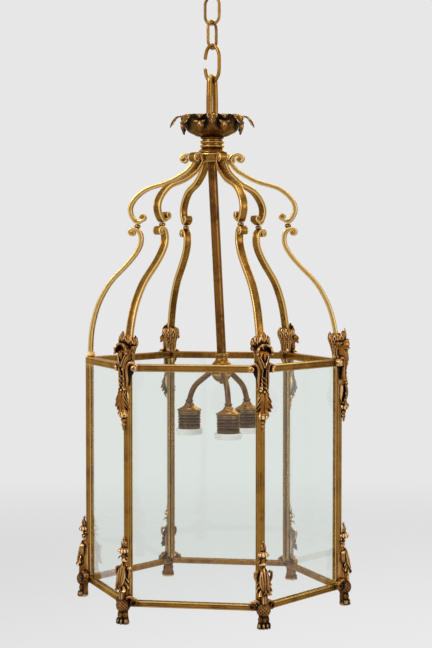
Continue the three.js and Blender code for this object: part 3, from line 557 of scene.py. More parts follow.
finishes = {  # for a metal: flat, tarnished, recessed (dirt and painted shade) and edge (rubbing and painted highlight) colours, and smoothness
    "gilt_brass": metal("giltBrass", (0.29, 0.137, 0.025), (0.145, 0.060, 0.012), (0.022, 0.009, 0.003),
                        (0.86, 0.59, 0.22), 0.26),
    "castGilt": metal("castGilt", (0.30, 0.122, 0.023), (0.15, 0.053, 0.011), (0.018, 0.007, 0.003),
                      (0.94, 0.63, 0.31), 0.25),
    # a darker copy of gilt brass: painted shade, used on the central tube, the lamp arms and the crown
    "shadedGilt": metal("shadedGilt", (0.20, 0.086, 0.020), (0.10, 0.040, 0.011), (0.016, 0.007, 0.003),
                      (0.80, 0.55, 0.26), 0.27),
    "bronzed_brass": metal("bronzedBrass", (0.075, 0.032, 0.012), (0.040, 0.016, 0.007),
                           (0.008, 0.005, 0.003), (0.74, 0.48, 0.20), 0.28),
    "white_porcelain": porcelainFinish(), "clear_glass": glassFinish()}
print("finishes made")


# Chain: oval links, each with the slight swelling of its weld, and the open hook link
def ovalLine(width, bottom, top, wire, count):  # straight sides and half-round ends, at even steps
    half = (width - wire) / 2
    low, high = bottom + wire / 2 + half, top - wire / 2 - half
    straight, arc = high - low, math.pi * half
    at = np.arange(count) / count * 2 * (straight + arc)
    side = at >= straight + arc
    at = np.where(side, at - straight - arc, at)
    angle = np.clip((at - straight) / half, 0, math.pi)
    across = half * np.cos(angle)
    height = np.where(at < straight, low + at, high + half * np.sin(angle))
    across, height = np.where(side, -across, across), np.where(side, low + high - height, height)
    return np.stack([across, np.zeros(count), height], axis=1)


def loopRod(line, radius, count=20):  # a closed rod in the x z plane
    tangent = unit(np.roll(line, -1, axis=0) - np.roll(line, 1, axis=0))
    side = np.array([0, 1, 0])
    right = np.cross(tangent, side)
    angle = np.arange(count) / count * tau
    ring = right[:, None, :] * np.cos(angle)[None, :, None] + side * np.sin(angle)[None, :, None]
    return line[:, None, :] + np.asarray(radius)[:, None, None] * ring


def blunt(count, length, radius):  # radii of a rod with rounded ends
    at = np.linspace(0, length, count)
    near = np.clip(np.minimum(at, length - at) / radius, 0, 1)
    return radius * np.sqrt(np.clip(1 - (1 - near) ** 2, 0, 1))


chainTurn = math.degrees(math.atan2(frame["joints"][0]["axis"][1], frame["joints"][0]["axis"][0]))
chain = {
    "linkWire": 4.5, "linkWidth": 30, "weld": 0.10, "weldLength": 3.5,
    "hookWire": 5.5, "hookWidth": 31, "hookMouth": 12.5, "hookLine": 130}


def ovalLink(name, nodeName, turn):
    low, high = levels(nodeName)
    line = ovalLine(chain["linkWidth"], low, high, chain["linkWire"], 160)
    away = (line[:, 2] - (low + high) / 2) / chain["weldLength"]
    swell = 1 + chain["weld"] * np.exp(-(away**2)) * (line[:, 0] > 0)
    rodGrid = loopRod(line, chain["linkWire"] / 2 * swell)
    makePiece(name, shifted([shell(rodGrid, loop=True)], turn), [nodeName], reach=0.8)


def openHook():
    low, high = levels("open_hook_link")
    wire = chain["hookWire"]
    half = (chain["hookWidth"] - wire) / 2
    height = high - low - wire
    middle, tip = height / 2, chain["hookMouth"] / 2
    places = [
        (-half, middle + tip), (-0.9 * half, middle + tip + 8), (-0.62 * half, height - 5), (0, height),
        (0.62 * half, height - 5), (0.95 * half, middle + tip + 8), (half, middle),
        (0.95 * half, middle - tip - 8), (0.62 * half, 5), (0, 0), (-0.62 * half, 5),
        (-0.9 * half, middle - tip - 8), (-half, middle - tip)]
    line = through([(x, 0, low + wire / 2 + z) for x, z in places], 220, places=3)
    grid = rod(line, blunt(220, chain["hookLine"], wire / 2), (0, 1, 0), 22)
    makePiece("hookOpen", shifted([shell(grid)], chainTurn), ["open_hook_link"], reach=0.8)


ovalLink("linkTop", "chain_link_upper", chainTurn)
ovalLink("linkSecond", "chain_link_lower", chainTurn + 90)
openHook()

# Hanging loop: a pear-shaped eye of round bar on a turned foot
hanger = {"wire": 9, "eyeRadius": 8, "legSpread": 9.5, "footRadius": 14, "footHeight": 7,
          "footSink": 1.7, "shankRadius": 4, "shankLength": 12, "shankReach": 40}


def hangingLoop():
    low, high = levels("suspension_loop")
    crownHeight = levels("leaf_crown")[1] - levels("hub")[1]
    base = low + hanger["shankLength"] + crownHeight - hanger["footSink"]
    spread, eyeRadius = hanger["legSpread"], hanger["eyeRadius"]
    centre = high - hanger["wire"] / 2 - eyeRadius
    foot = base + hanger["footHeight"] / 2
    leg = raised([(spread, 0), (spread, 10), (spread - 0.1, 23), (spread - 0.75, 37)], foot)
    turns = np.radians(range(0, 181, 30))
    arc = [(eyeRadius * math.cos(a), centre + eyeRadius * math.sin(a)) for a in turns]
    side = leg + arc + [(-x, z) for x, z in reversed(leg)]
    line = through([(x, 0, z) for x, z in side], 240, places=3)
    bar = rod(line, hanger["wire"] / 2, (0, 1, 0), 22)
    r, h, shank, reach = (hanger[key] for key in ("footRadius", "footHeight", "shankRadius", "shankReach"))
    profile = raised([[0, -reach], [shank, -reach, 0.5], [shank, 0, 0.3], [r - 0.8, 0, 0.6],
                      [r, 0.9, 0.8], [r - 0.6, 2.2, 0.7], [r - 2.6, 2.9, 0.5], [r - 2.2, 3.6, 0.4],
                      [r - 2.6, 4.6, 0.8]], base)
    profile += raised([[r - 5.5, -0.8, 1.5], [5, 0, 1], [0, 0]], base + h)
    shells = shellsOf(bar, lathe(softened(profile, 1.2), 72))
    makePiece("hangingLoop", shifted(shells, chainTurn + 90), ["suspension_loop"], reach=0.5)


hangingLoop()
print("chain made")

# Hub: a turned drum with a moulded shoulder and two neck rings
hubLow, hubHigh = span("hub")
hubSize = {"radius": hubHigh[0], "drum": 14.5, "shoulder": 8.7, "neck": 15.5, "ring": 19, "ringHeight": 5,
           "ringGap": 1.5}


def hubPiece():
    r, z, neck, ring = hubSize["radius"], hubLow[2], hubSize["neck"], hubSize["ring"]
    drumTop = z + hubSize["drum"]
    neckBottom = drumTop + hubSize["shoulder"]
    profile = raised([[0, 1.5], [12.5, 1.5, 0.8], [13.5, 0.2, 0.6], [15, 0, 0.5], [r - 2.2, 0, 1],
                      [r - 0.1, 1.9, 1.2], [r, 3.2, 0.6], [r - 0.6, 3.7, 0.3]], z)
    profile += raised([[r - 0.6, -3.6, 0.3], [r, -3.1, 0.5], [r, -1, 1], [r - 1.6, 0.4, 0.8],
                       [r - 3.2, 1, 0.6], [r - 3.4, 1.9, 0.4], [r - 4.6, 4.4, 1.6],
                       [r - 7.2, 6.8, 1.6]], drumTop)
    profile.append([neck, neckBottom, 0.5])
    for i in range(2):
        low = neckBottom + i * (hubSize["ringHeight"] + hubSize["ringGap"])
        high = low + hubSize["ringHeight"]
        profile += raised([[neck, 0.2, 0.3], [ring - 1.4, 0.2, 0.8], [ring, 1.5, 1.2]], low)
        profile += raised([[ring, -1.5, 1.2], [ring - 1.4, -0.2, 0.8], [neck, -0.2, 0.3]], high)
    profile += [[neck, hubHigh[2], 0.3], [0, hubHigh[2]]]
    makePiece("hubTurned", [shell(lathe(softened(profile, 1.4), 96))], ["hub"])


hubPiece()

# Central tube, leaning a little from the hub to the cluster
tube = {"radius": 7.2, "lean": 15 / 299, "endGap": 0.35}


def centralTube():
    low, high = levels("central_tube")
    at = np.linspace(high - tube["endGap"], low + tube["endGap"], 60)
    line = np.stack([(hubLow[2] - at) * tube["lean"], 0 * at, at], axis=1)
    grid = rod(line, tube["radius"], (0, 1, 0), 64)
    makePiece("tubeCentral", [shell(grid)], ["central_tube"], reach=1, finish="shadedGilt")


centralTube()

# Scroll arms: reeded straps drawn in the plane of a corner, with rolled ends
arm = {
    "width": 12, "thickness": 6.5, "rollWidth": 13.5, "hubRoll": 8.2, "hubRollOut": 18.5,
    "hubRollRise": 5.8, "waistRadius": 119.5, "waistHeight": 214.5, "innerRoll": 7, "outerRoll": 7.5,
    "bead": 4.8, "gap": 0.3, "footRadius": 197, "blockFront": 201.08, "blockLength": 10,
    "blockWidth": 16, "blockHeight": 6, "lugWidth": 9, "lugRise": 2, "lugTop": 10}
reeded = reededSection(0.11, 0.84, 0.66)


def slab(low, high, edge):  # a block with rounded upright corners and bevelled ends
    low, high = np.array(low, float), np.array(high, float)
    middle, half = (low + high) / 2, (high - low) / 2
    turn = np.linspace(0, tau, 33)[:-1] + tau / 64
    inset = np.array([edge, 0.3 * edge, 0, 0, 0.3 * edge, edge])
    level = np.array([low[2], low[2] + 0.3 * edge, low[2] + edge,
                      high[2] - edge, high[2] - 0.3 * edge, high[2]])
    across = np.clip(1.6 * np.cos(turn), -1, 1) * (half[0] - edge) + edge * np.cos(turn)
    along = np.clip(1.6 * np.sin(turn), -1, 1) * (half[1] - edge) + edge * np.sin(turn)
    shrink = 1 - inset[:, None] / np.array([half[0], half[1]])[None, :]
    x = middle[0] + across[None, :] * shrink[:, :1]
    y = middle[1] + along[None, :] * shrink[:, 1:]
    return np.stack([x, y, level[:, None] * np.ones(len(turn))], axis=2)


def full(points):  # path points at the strap's full thickness and width
    return [[x, z, arm["thickness"], arm["width"]] for x, z in points]


def upperArm():
    side = hubSize["radius"] + arm["gap"] + arm["thickness"] / 2
    hub = hubLow[2]
    centre = (hubSize["radius"] + arm["hubRollOut"], hub + arm["hubRollRise"])
    start = (side + 9.5, hub - 11.5)
    waist = (arm["waistRadius"], arm["waistHeight"])
    volute = (waist[0] - 7.5, waist[1] + arm["innerRoll"] + 0.5)
    shape = [(0.13, 0.09), (0.365, 0.215), (0.6, 0.29), (0.82, 0.365), (0.995, 0.49), (1.12, 0.65),
             (1.145, 0.8), (1.085, 0.935)]
    sweep = [(start[0] + a * (waist[0] - start[0]), start[1] - d * (start[1] - waist[1])) for a, d in shape]
    first = rolled(centre, arm["hubRoll"], 90, -1, 1.25, (3.9, 2.4), arm["rollWidth"])[::-1]
    last = rolled(volute, arm["innerRoll"], -90, -1, 1.2, (3.6, 2.2), arm["rollWidth"])
    over = [[side + 8, centre[1] + 6.3, 4.8, 12.6], [side + 1.8, hub + 8, 6.2, arm["width"]]]
    path = full([(side, hub + 1.5), (side + 2.8, hub - 3.5), start] + sweep + [waist])
    line = through(np.vstack([first, over, path, last]), 208)
    near, half = hubSize["radius"] + arm["gap"], arm["lugWidth"] / 2
    lug = slab((near, -half, hub + arm["lugRise"]), (side, half, hub + arm["lugTop"]), 0.8)
    roll = arm["rollWidth"] / 2
    return shellsOf(strap(line, reeded), eye(centre, 2.9, roll), eye(volute, 2.5, roll), lug)


def lowerArm():
    waist = arm["waistRadius"]
    beadTop = arm["waistHeight"] - arm["thickness"] / 2 - arm["gap"]
    top = beadTop - 1.15 * arm["bead"]
    centre = (waist + 8.5, top - arm["outerRoll"])
    crest = (waist + 1.5, top - arm["thickness"] / 2)
    foot = (arm["footRadius"], arm["blockHeight"])
    shape = [(-0.06, 0.98), (-0.092, 0.938), (-0.085, 0.892), (-0.026, 0.836), (0.13, 0.754), (0.34, 0.668),
             (0.553, 0.581), (0.73, 0.474), (0.849, 0.372), (0.928, 0.265), (0.98, 0.148)]
    sweep = [(crest[0] + a * (foot[0] - crest[0]), foot[1] + u * (crest[1] - foot[1])) for a, u in shape]
    first = rolled(centre, arm["outerRoll"], 80, -1, 1.2, (3.8, 2.4), arm["rollWidth"])[::-1]
    over = [[crest[0] + 1.6, crest[1] + 0.7, 5, 12.8]]
    line = through(np.vstack([first, over, full(sweep + [foot, (foot[0], foot[1] / 2)])]), 208)
    bead = arm["bead"]
    profile = raised([[0, -2.5], [2.4, -2.2, 0.8], [3.2, -0.9, 0.5], [bead - 0.6, 0.1, 1.2],
                      [bead + 0.5, 2, 1.8], [bead, 4, 1.4]], top)
    profile += raised([[3.4, -0.4, 1], [2.4, 0, 0.4], [0, 0]], beadTop)
    waistBall = lathe(softened(profile, 0.7), 40) + [waist + 0.5, 0, 0]
    front, half = arm["blockFront"], arm["blockWidth"] / 2
    block = slab((front - arm["blockLength"], -half, arm["gap"]), (front, half, arm["blockHeight"]), 1.2)
    collar = slab((front - arm["blockLength"] + 0.8, -half + 0.9, arm["blockHeight"] - 0.6),
                  (front - 0.6, half - 0.9, arm["blockHeight"] + 2.2), 0.9)
    button = eye(centre, 3.4, arm["rollWidth"] / 2, 2.4)
    return shellsOf(strap(line, reeded), button, waistBall, block, collar)


upperArmShells, lowerArmShells = upperArm(), lowerArm()
for i, corner in enumerate(corners):
    makePiece("armUpper_" + corner, shifted(upperArmShells, 60 * i), ["upper_scroll_" + corner], reach=0.4)
    makePiece("armLower_" + corner, shifted(lowerArmShells, 60 * i), ["lower_scroll_" + corner], reach=0.4)
print("hub, tube and arms made")


# Case: six-sided rails of one moulded section, and reeded posts
def closedSoft(points, step=1.2):
    middle = [(points[0][0] + points[-1][0]) / 2, (points[0][1] + points[-1][1]) / 2]
    return softened([middle] + points + [middle], step)[:-1]


def hexRail(section, steps):  # the section's first column is its distance from the axis to a flat side
    corner = section[:, 0] / math.cos(math.pi / 6)
    share = np.arange(steps) / steps
    share = (share + 0.5 - 0.5 * np.cos(math.pi * share)) / 2
    rows = []
    for k in range(6):
        here, ahead = (np.array([math.cos(a), math.sin(a)]) for a in (k * tau / 6, (k + 1) * tau / 6))
        flat = (1 - share)[:, None] * here + share[:, None] * ahead
        rows.append(flat[:, None, :] * corner[None, :, None])
    plan = np.concatenate(rows)
    height = np.broadcast_to(section[None, :, 1], plan.shape[:2])
    return np.concatenate([plan, height[..., None]], axis=2)


case = {"corner": 206, "railWidth": 12, "groove": (169.6, 173.2), "grooveDepth": 3.5, "postLine": 200,
        "postWidth": 14, "postFront": 5, "ribWidth": 4, "ribDepth": 10, "postRows": 40}


def rails():
    outer = case["corner"] * math.cos(math.pi / 6)
    inner = outer - case["railWidth"]
    near, far = case["groove"]
    for name, nodeName, grooveUp in (("railTop", "top_frame", False), ("railBottom", "bottom_frame", True)):
        low, high = levels(nodeName)
        middle = (low + high) / 2
        face = [[outer - 1.3, high, 0.7], [outer, high - 1.2, 1.1], [outer - 0.9, high - 2.3, 0.5],
                [outer - 1.3, high - 2.9, 0.3], [outer - 0.6, high - 3.4, 0.4],
                [outer - 0.3, middle - 0.8, 2], [outer - 0.7, low + 2.6, 0.4],
                [outer - 1.2, low + 2.2, 0.3], [outer - 0.2, low + 1.7, 0.6],
                [outer - 0.3, low + 0.4, 0.5], [outer - 1.2, low, 0.5]]
        under = [[inner + 0.8, low, 0.5], [inner, low + 0.9, 0.6], [inner, high - 0.9, 0.6],
                 [inner + 0.8, high, 0.5]]
        if grooveUp:
            floor = high - case["grooveDepth"]
            slot = [[near, high, 0.2], [near, floor, 0.2], [far, floor, 0.2], [far, high, 0.2]]
            section = face + under + slot
        else:
            roof = low + case["grooveDepth"]
            slot = [[far, low, 0.2], [far, roof, 0.2], [near, roof, 0.2], [near, low, 0.2]]
            section = face + slot + under
        makePiece(name, [shell(hexRail(closedSoft(section), 26), loop=True)], [nodeName], sharp=35)


def postSection():
    half = case["postWidth"] / 2
    back = -half * math.tan(math.pi / 6)
    angle = np.radians(np.linspace(-90, 90, 61))
    swell = 1 - 0.055 * np.exp(-(((np.abs(angle) - math.radians(50)) / math.radians(5)) ** 2))
    out = back + (case["postFront"] - back) * np.cos(angle) * swell
    front = np.stack([out, half * np.sin(angle) * swell], axis=1)
    rib, depth = case["ribWidth"] / 2, case["ribDepth"]
    lean = math.tan(math.pi / 6)
    rear = softened([[back, half], [-rib * lean, rib, 0.3], [-depth, rib, 0.4], [-depth, -rib, 0.4],
                     [-rib * lean, -rib, 0.3], [back, -half]], 1.5)[1:-1]
    return np.vstack([front, rear])


rails()
postGrid = postSection()
for i, corner in enumerate(corners):
    nodeName = "corner_post_" + corner
    level = np.linspace(*levels(nodeName), case["postRows"])[:, None, None]
    level = np.broadcast_to(level, (len(level), len(postGrid), 1))
    grid = np.concatenate([np.broadcast_to(postGrid, level.shape[:2] + (2,)), level], axis=2)
    post = shifted([shell(grid + [case["postLine"], 0, 0])], 60 * i)
    makePiece("post_" + corner, post, [nodeName], sharp=35)
for name, item in frame["nodes"].items():
    if name.startswith("glass_pane"):
        item.material_slots[0].material = finishes["clear_glass"]
print("case made")

# Lamp cluster: a turned body, three round arms and three lampholders
lamps = {"offset": 15, "radius": 54, "turn": -70, "armRadius": 4.4, "capRadius": 14.4, "bodyRadius": 16,
         "armLine": ((10, -20), (20, -25), (31.8, -34), (44, -45), (51.5, -60), (54, -70), (54, -71.7)),
         "collarEnd": -71.6}
holder = {
    "cap": (-72, -84.5), "flange": 19.5, "shell": (-84.8, -112.8), "shellRadius": 17.6,
    "spigot": 16.9, "spigotEnd": -117.8, "bore": 15.3, "insert": (-117.8, -87.1), "insertRadius": 15,
    "socket": 13.6, "socketRoof": -91.1, "ring": (-122.6, -113.1), "ringRadius": 22, "ringSeat": 17.2,
    "thread": 3.6, "threadDepth": 0.35}


def clusterPiece():
    low, high = levels("cluster_body")
    cap, body = lamps["capRadius"], lamps["bodyRadius"]
    profile = raised([
        [0, 0], [2.6, 0, 0.8], [3.4, 1.4, 0.9], [2.6, 2.6, 0.5], [4.4, 2.9, 0.4], [9.4, 4.9, 3],
        [13.3, 9.2, 3], [15.4, 14.5, 3], [body - 0.7, 17.8, 0.5], [body + 0.4, 18.4, 0.5],
        [body + 0.4, 20.4, 0.5], [body - 0.5, 21, 0.4], [body - 0.5, 28, 0.4], [body + 0.3, 28.6, 0.5],
        [body + 0.3, 30.4, 0.5], [cap + 0.2, 31.2, 0.5], [cap, 32.4, 0.6], [cap - 1.6, 34.2, 1],
        [cap - 4.4, 37, 2], [cap - 5.4, 41.5, 2], [cap - 4.4, 44.6, 0.5], [cap - 3.2, 45.3, 0.6],
        [cap - 3.4, 47, 0.6]], low)
    profile += [[cap - 5, high, 0.5], [0, high]]
    grid = lathe(softened(profile, 1.2), 80)
    makePiece("clusterBody", [shell(grid + [lamps["offset"], 0, 0])], ["cluster_body"])


def ribbed(r, top, bottom):  # outer side of a lampholder shell, downwards: a band, then three ribs
    side = [[r + 0.5, -0.2, 0.5], [r + 0.5, -6, 0.6], [r - 0.5, -7, 0.5], [r - 0.6, -8, 0.3]]
    side = raised(side, top)
    for at in (9.6, 14.6, 18.8):
        side += raised([[r + 0.7, 0.7, 0.5], [r + 0.7, -0.7, 0.5], [r - 0.8, -1.5, 0.4],
                        [r - 0.8, -2.4, 0.4]], top - at)
    return side + [[r, top - 22.5, 0.5], [r, bottom, 0.4]]


def threadOf(low, high, depth):  # a round thread cut into the inner wall between two heights
    def carve(radius, height, angle):
        inside = (np.abs(radius - holder["socket"]) < 0.4) & (height > low + 1) & (height < high - 1)
        wave = depth * np.sin(tau * height / holder["thread"] + angle)
        return radius + np.where(inside, wave, 0), height
    return carve


def lampholder(number, turn):
    capTop, capLow = holder["cap"]
    flange, pipe = holder["flange"], lamps["armRadius"]
    cap = raised([
        [0, 0], [flange - 0.5, 0, 0.4], [flange, 0.6, 0.5], [flange, 1.5, 0.6], [flange - 1.2, 2.2, 0.5],
        [flange - 3.2, 2.5, 0.5], [flange - 5.2, 4.4, 1.5], [flange - 8.6, 5.9, 1.5],
        [flange - 11.4, 8.2, 1], [pipe + 3.2, 9.4, 0.5], [pipe + 3, 10.8, 0.6]], capLow)
    cap += [[pipe + 1.2, capTop, 0.6], [0, capTop]]
    top, low = holder["shell"]
    r, spigot, bore, end = holder["shellRadius"], holder["spigot"], holder["bore"], holder["spigotEnd"]
    shellSide = [[5, top - 2, 0.3], [5, top, 0.4]] + ribbed(r, top, low) + [
        [spigot, low, 0.2], [spigot, end, 0.3], [bore, end, 0.3], [bore, top - 2, 0.3]]
    socket, roof, wide = holder["socket"], holder["socketRoof"], holder["insertRadius"]
    bottom, insertTop = holder["insert"]
    insert = [[0, roof + 1.2], [socket - 1.2, roof + 1.2, 0.3], [socket - 0.2, roof, 0.4],
              [socket, bottom + 0.3, 0.2], [socket + 0.4, bottom, 0.2], [wide, bottom, 0.4],
              [wide, insertTop, 0.5], [0, insertTop]]
    ringLow, ringTop = holder["ring"]
    wide, seat, lip = holder["ringRadius"], holder["ringSeat"], end - 0.3
    ring = raised([[socket, 0.5, 0.5], [socket + 0.8, 0, 0.5], [wide - 2, 0, 1.2], [wide - 0.5, 1.8, 1.2],
                   [wide - 0.4, 3.6, 0.6], [wide - 1, 4.4, 0.4], [wide - 0.4, 5.2, 0.6]], ringLow)
    ring += raised([[wide, -2, 0.8], [wide - 0.8, -0.4, 0.7], [wide - 2, 0, 0.6], [seat, 0, 0.5]], ringTop)
    ring += [[seat, lip, 0.3], [socket, lip, 0.4]]
    sleeve = [[socket - 0.75, roof + 1, 0.1], [socket - 0.25, roof + 1, 0.1],
              [socket - 0.15, bottom + 1.2, 0.1], [socket - 0.65, bottom + 1.2, 0.1]]
    contact = raised([[0, -2.6], [2.6, -2.4, 0.8], [4.2, -0.6, 0.8], [4.4, 1.3, 0.3], [0, 1.3]], roof)
    angle = math.radians(turn)
    place = [lamps["offset"] + lamps["radius"] * math.cos(angle), lamps["radius"] * math.sin(angle), 0]

    def stood(profile, count, loop=False, carve=None):
        return shell(lathe(profile, count, carve) + place, loop)

    for name, nodeName, made, reach in (
            ("holderCap_", "holder_cap_", stood(softened(cap, 1), 72), 0.3),
            ("holderShell_", "holder_shell_", stood(closedSoft(shellSide, 1), 56, True), 0.26),
            ("holderInsert_", "holder_insert_", stood(softened(insert, 1), 40), 0.25),
            ("porcelainRing_", "porcelain_ring_", stood(closedSoft(ring, 1), 64, True), 0.5)):
        makePiece(name + number, [made], [nodeName + number], reach=reach)
    thread = threadOf(bottom + 1.2, roof + 1, holder["threadDepth"])
    lining = [stood(closedSoft(sleeve, 0.6), 48, True, thread), stood(softened(contact, 0.8), 32)]
    makeLoose("socketSleeve_" + number, lining, "threaded sleeve and contact")


def makeLoose(name, shells, note):  # a brass piece with no CAD node of its own, riding with the lantern
    piece = makePiece(name, shells, ["hub"])
    del piece["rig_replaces"]
    piece["note"] = note


def lampArm(number, turn):
    line = through([(r, 0, z) for r, z in lamps["armLine"]], 90, places=3)
    end = lamps["collarEnd"]
    collar = softened([[0, -67.4], [5.4, -67.4, 0.5], [6, -68.3, 0.7], [6, -70.4, 0.7], [5.2, end, 0.4],
                       [0, end]], 0.8)
    rosette = rod(through([(12.5, 0, -21.2), (17.2, 0, -23.3)], 6, places=3), [6, 6.6, 6.2, 6.6, 5.8, 5],
                  (0, 1, 0), 32)
    pipe = rod(line, lamps["armRadius"], (0, 1, 0), 32)
    shells = shellsOf(pipe, lathe(collar, 40) + [lamps["radius"], 0, 0], rosette)
    makePiece("lampArm_" + number, shifted(shells, turn, [lamps["offset"], 0, 0]), ["lamp_arm_" + number],
              reach=0.7, finish="shadedGilt")


clusterPiece()
for i in range(3):
    lampArm(str(i + 1), lamps["turn"] + 120 * i)
    lampholder(str(i + 1), lamps["turn"] + 120 * i)
print("lamp cluster made")


# Leaves, of each kind: lobes a side, depth of the cuts, height of the lobes' ridges and of the midrib,
# thickness, and the grid's rows and columns
leafCuts = {
    "crownLeaf": (4, 0.26, 0.9, 0.9, 1.6, 60, 19), "crownLip": (2, 0.3, 0.9, 0.5, 1.4, 28, 13),
    "crownDroop": (5, 0.34, 1.7, 0.5, 1.6, 64, 21), "pendant": (5, 0.6, 1.9, -1.5, 2, 86, 27),
    "upright": (4, 0.5, 1.7, 1.3, 1.6, 46, 17), "curled": (3, 0.4, 1.2, 0.8, 1.4, 40, 17),
    "drape": (5, 0.5, 2, 1.5, 2.2, 80, 29), "petal": (1, 0.1, 0.5, 1.1, 1.8, 36, 13),
    "tip": (1, 0.1, 0.5, 0.8, 1.5, 30, 13), "spray": (1, 0.15, 0.5, 0.8, 1.3, 36, 15),
    "wing": (2, 0.3, 0.7, 0.6, 1.4, 30, 13), "fetlock": (2, 0.3, 0.8, 0.8, 1.4, 36, 15)}


# A cast leaf lies along a line in the radial plane whose columns are radius, height, half width
# and how far its edges bend out of the line's plane. Its edge is cut into lobes that lean towards the
# tip, each lobe is a ridge, and the middle stays plain as far as asked. Both faces carry the same relief.
def castLeaf(points, kind, face=1, lean=0.35, power=1.5, plain=0, bias=0):
    lobes, depth, ridge, rib, thick, rows, columns = leafCuts[kind]
    line = through(points, rows)
    tangent = unit(np.gradient(line[:, :2], axis=0))
    normal = face * np.stack([-tangent[:, 1], tangent[:, 0]], axis=1)
    t = np.linspace(-1, 1, columns)[None, :]
    s = np.linspace(0, 1, rows)[:, None]
    away = np.abs(t)
    tooth = np.abs(np.sin(math.pi * (lobes * (s - 0.16 * away) + bias))) ** 0.7
    edge = 1 - depth * (1 - tooth) * away**2 * np.clip(8 * s, 0, 1)
    half = line[:, 2:3]
    across = t * half * edge
    forward = lean * half * away**2 * edge
    scale = np.clip(half / 6, 0.15, 1)
    veins = ridge * (tooth - 0.5) * eased(away, plain - 0.05, plain + 0.4)
    relief = scale * (veins + rib * np.exp(-((t / 0.13) ** 2))) + line[:, 3:4] * away**power
    wall = thick * (1 - 0.55 * away**3) * np.clip(half / 3, 0.35, 1)

    def side(sign):
        lift = relief + sign * wall / 2
        x = line[:, 0:1] + tangent[:, 0:1] * forward + normal[:, 0:1] * lift
        z = line[:, 1:2] + tangent[:, 1:2] * forward + normal[:, 1:2] * lift
        return np.stack([x, across, z], axis=2)

    return np.concatenate([side(1), side(-1)[:, ::-1]], axis=1)


# Rows of height, half width, front and back: an oval at each level, with upright flutes as deep as asked
def barrel(rows, count=40, steps=28, flutes=0, depth=0):
    rows = through(rows, steps, places=1)
    angle = np.arange(count) / count * tau
    wave = 1 - depth * (1 - np.abs(np.sin(flutes * angle / 2)) ** 0.8)
    middle, reach = (rows[:, 2:3] + rows[:, 3:4]) / 2, (rows[:, 2:3] - rows[:, 3:4]) / 2
    return np.stack([middle + reach * wave * np.cos(angle), rows[:, 1:2] * wave * np.sin(angle),
                     rows[:, 0:1] * np.ones(count)], axis=2)


# A casting seen from outside: at each level the front swells from edge to edge over a flat back, and
# relief is laid on it. Rows of height, half width, front in the middle, front at the edges and back.
def casting(rows, carve, steps, columns):
    line = through(rows, steps, places=1)
    z, half, out, edge, back = (line[:, k:k + 1] for k in range(5))
    t = np.sin(np.linspace(-math.pi / 2, math.pi / 2, columns))[None, :]
    bulge = (1 - np.abs(t) ** 2.4) ** (1 / 2.4)
    x = edge + (out - edge) * bulge + carve(half * t, z) * (1 - t**8)
    front = np.stack([x, half * t, z + 0 * t], axis=2)
    rear = front[:, ::-4] * [0, 0.9, 1] + (back[:, None] * [1, 0, 0])
    return np.concatenate([front, rear], axis=1)


def ridge(y, z, path, width, height):  # relief along a pair of lines, y as far from the middle as path says
    path = np.array(path, float)
    low, high = path[0, 0], path[-1, 0]
    ends = eased(z, low, low + 2 * width) * (1 - eased(z, high - 2 * width, high))
    return height * ends * np.exp(-(((np.abs(y) - np.interp(z, path[:, 0], path[:, 1])) / width) ** 2))


def fluted(count, depth):  # upright flutes that die out towards the poles of a turned shape
    def carve(radius, height, angle):
        wave = 1 - depth * (1 - np.abs(np.sin(count * angle / 2)) ** 0.8)
        return radius * wave, height
    return carve


def ball(centre, reach, rows=22, count=48, flutes=0, depth=0):
    angle = np.linspace(-math.pi / 2, math.pi / 2, rows)
    profile = np.stack([np.cos(angle), np.sin(angle)], axis=1)
    return lathe(profile, count, fluted(flutes, depth) if flutes else None) * reach + centre


# Crown: a round-bellied cup cut into eight lobes, with eight folded leaves curling over its rim, a short
# lip and a drooping lobe between each pair
crown = {"turn": 9 - 90, "leaves": 8, "column": 11, "bore": 4.3, "neck": 15.5, "groove": 3.6,
         "veins": 3.2, "veinDepth": 0.9, "paintedShade": 0.22}


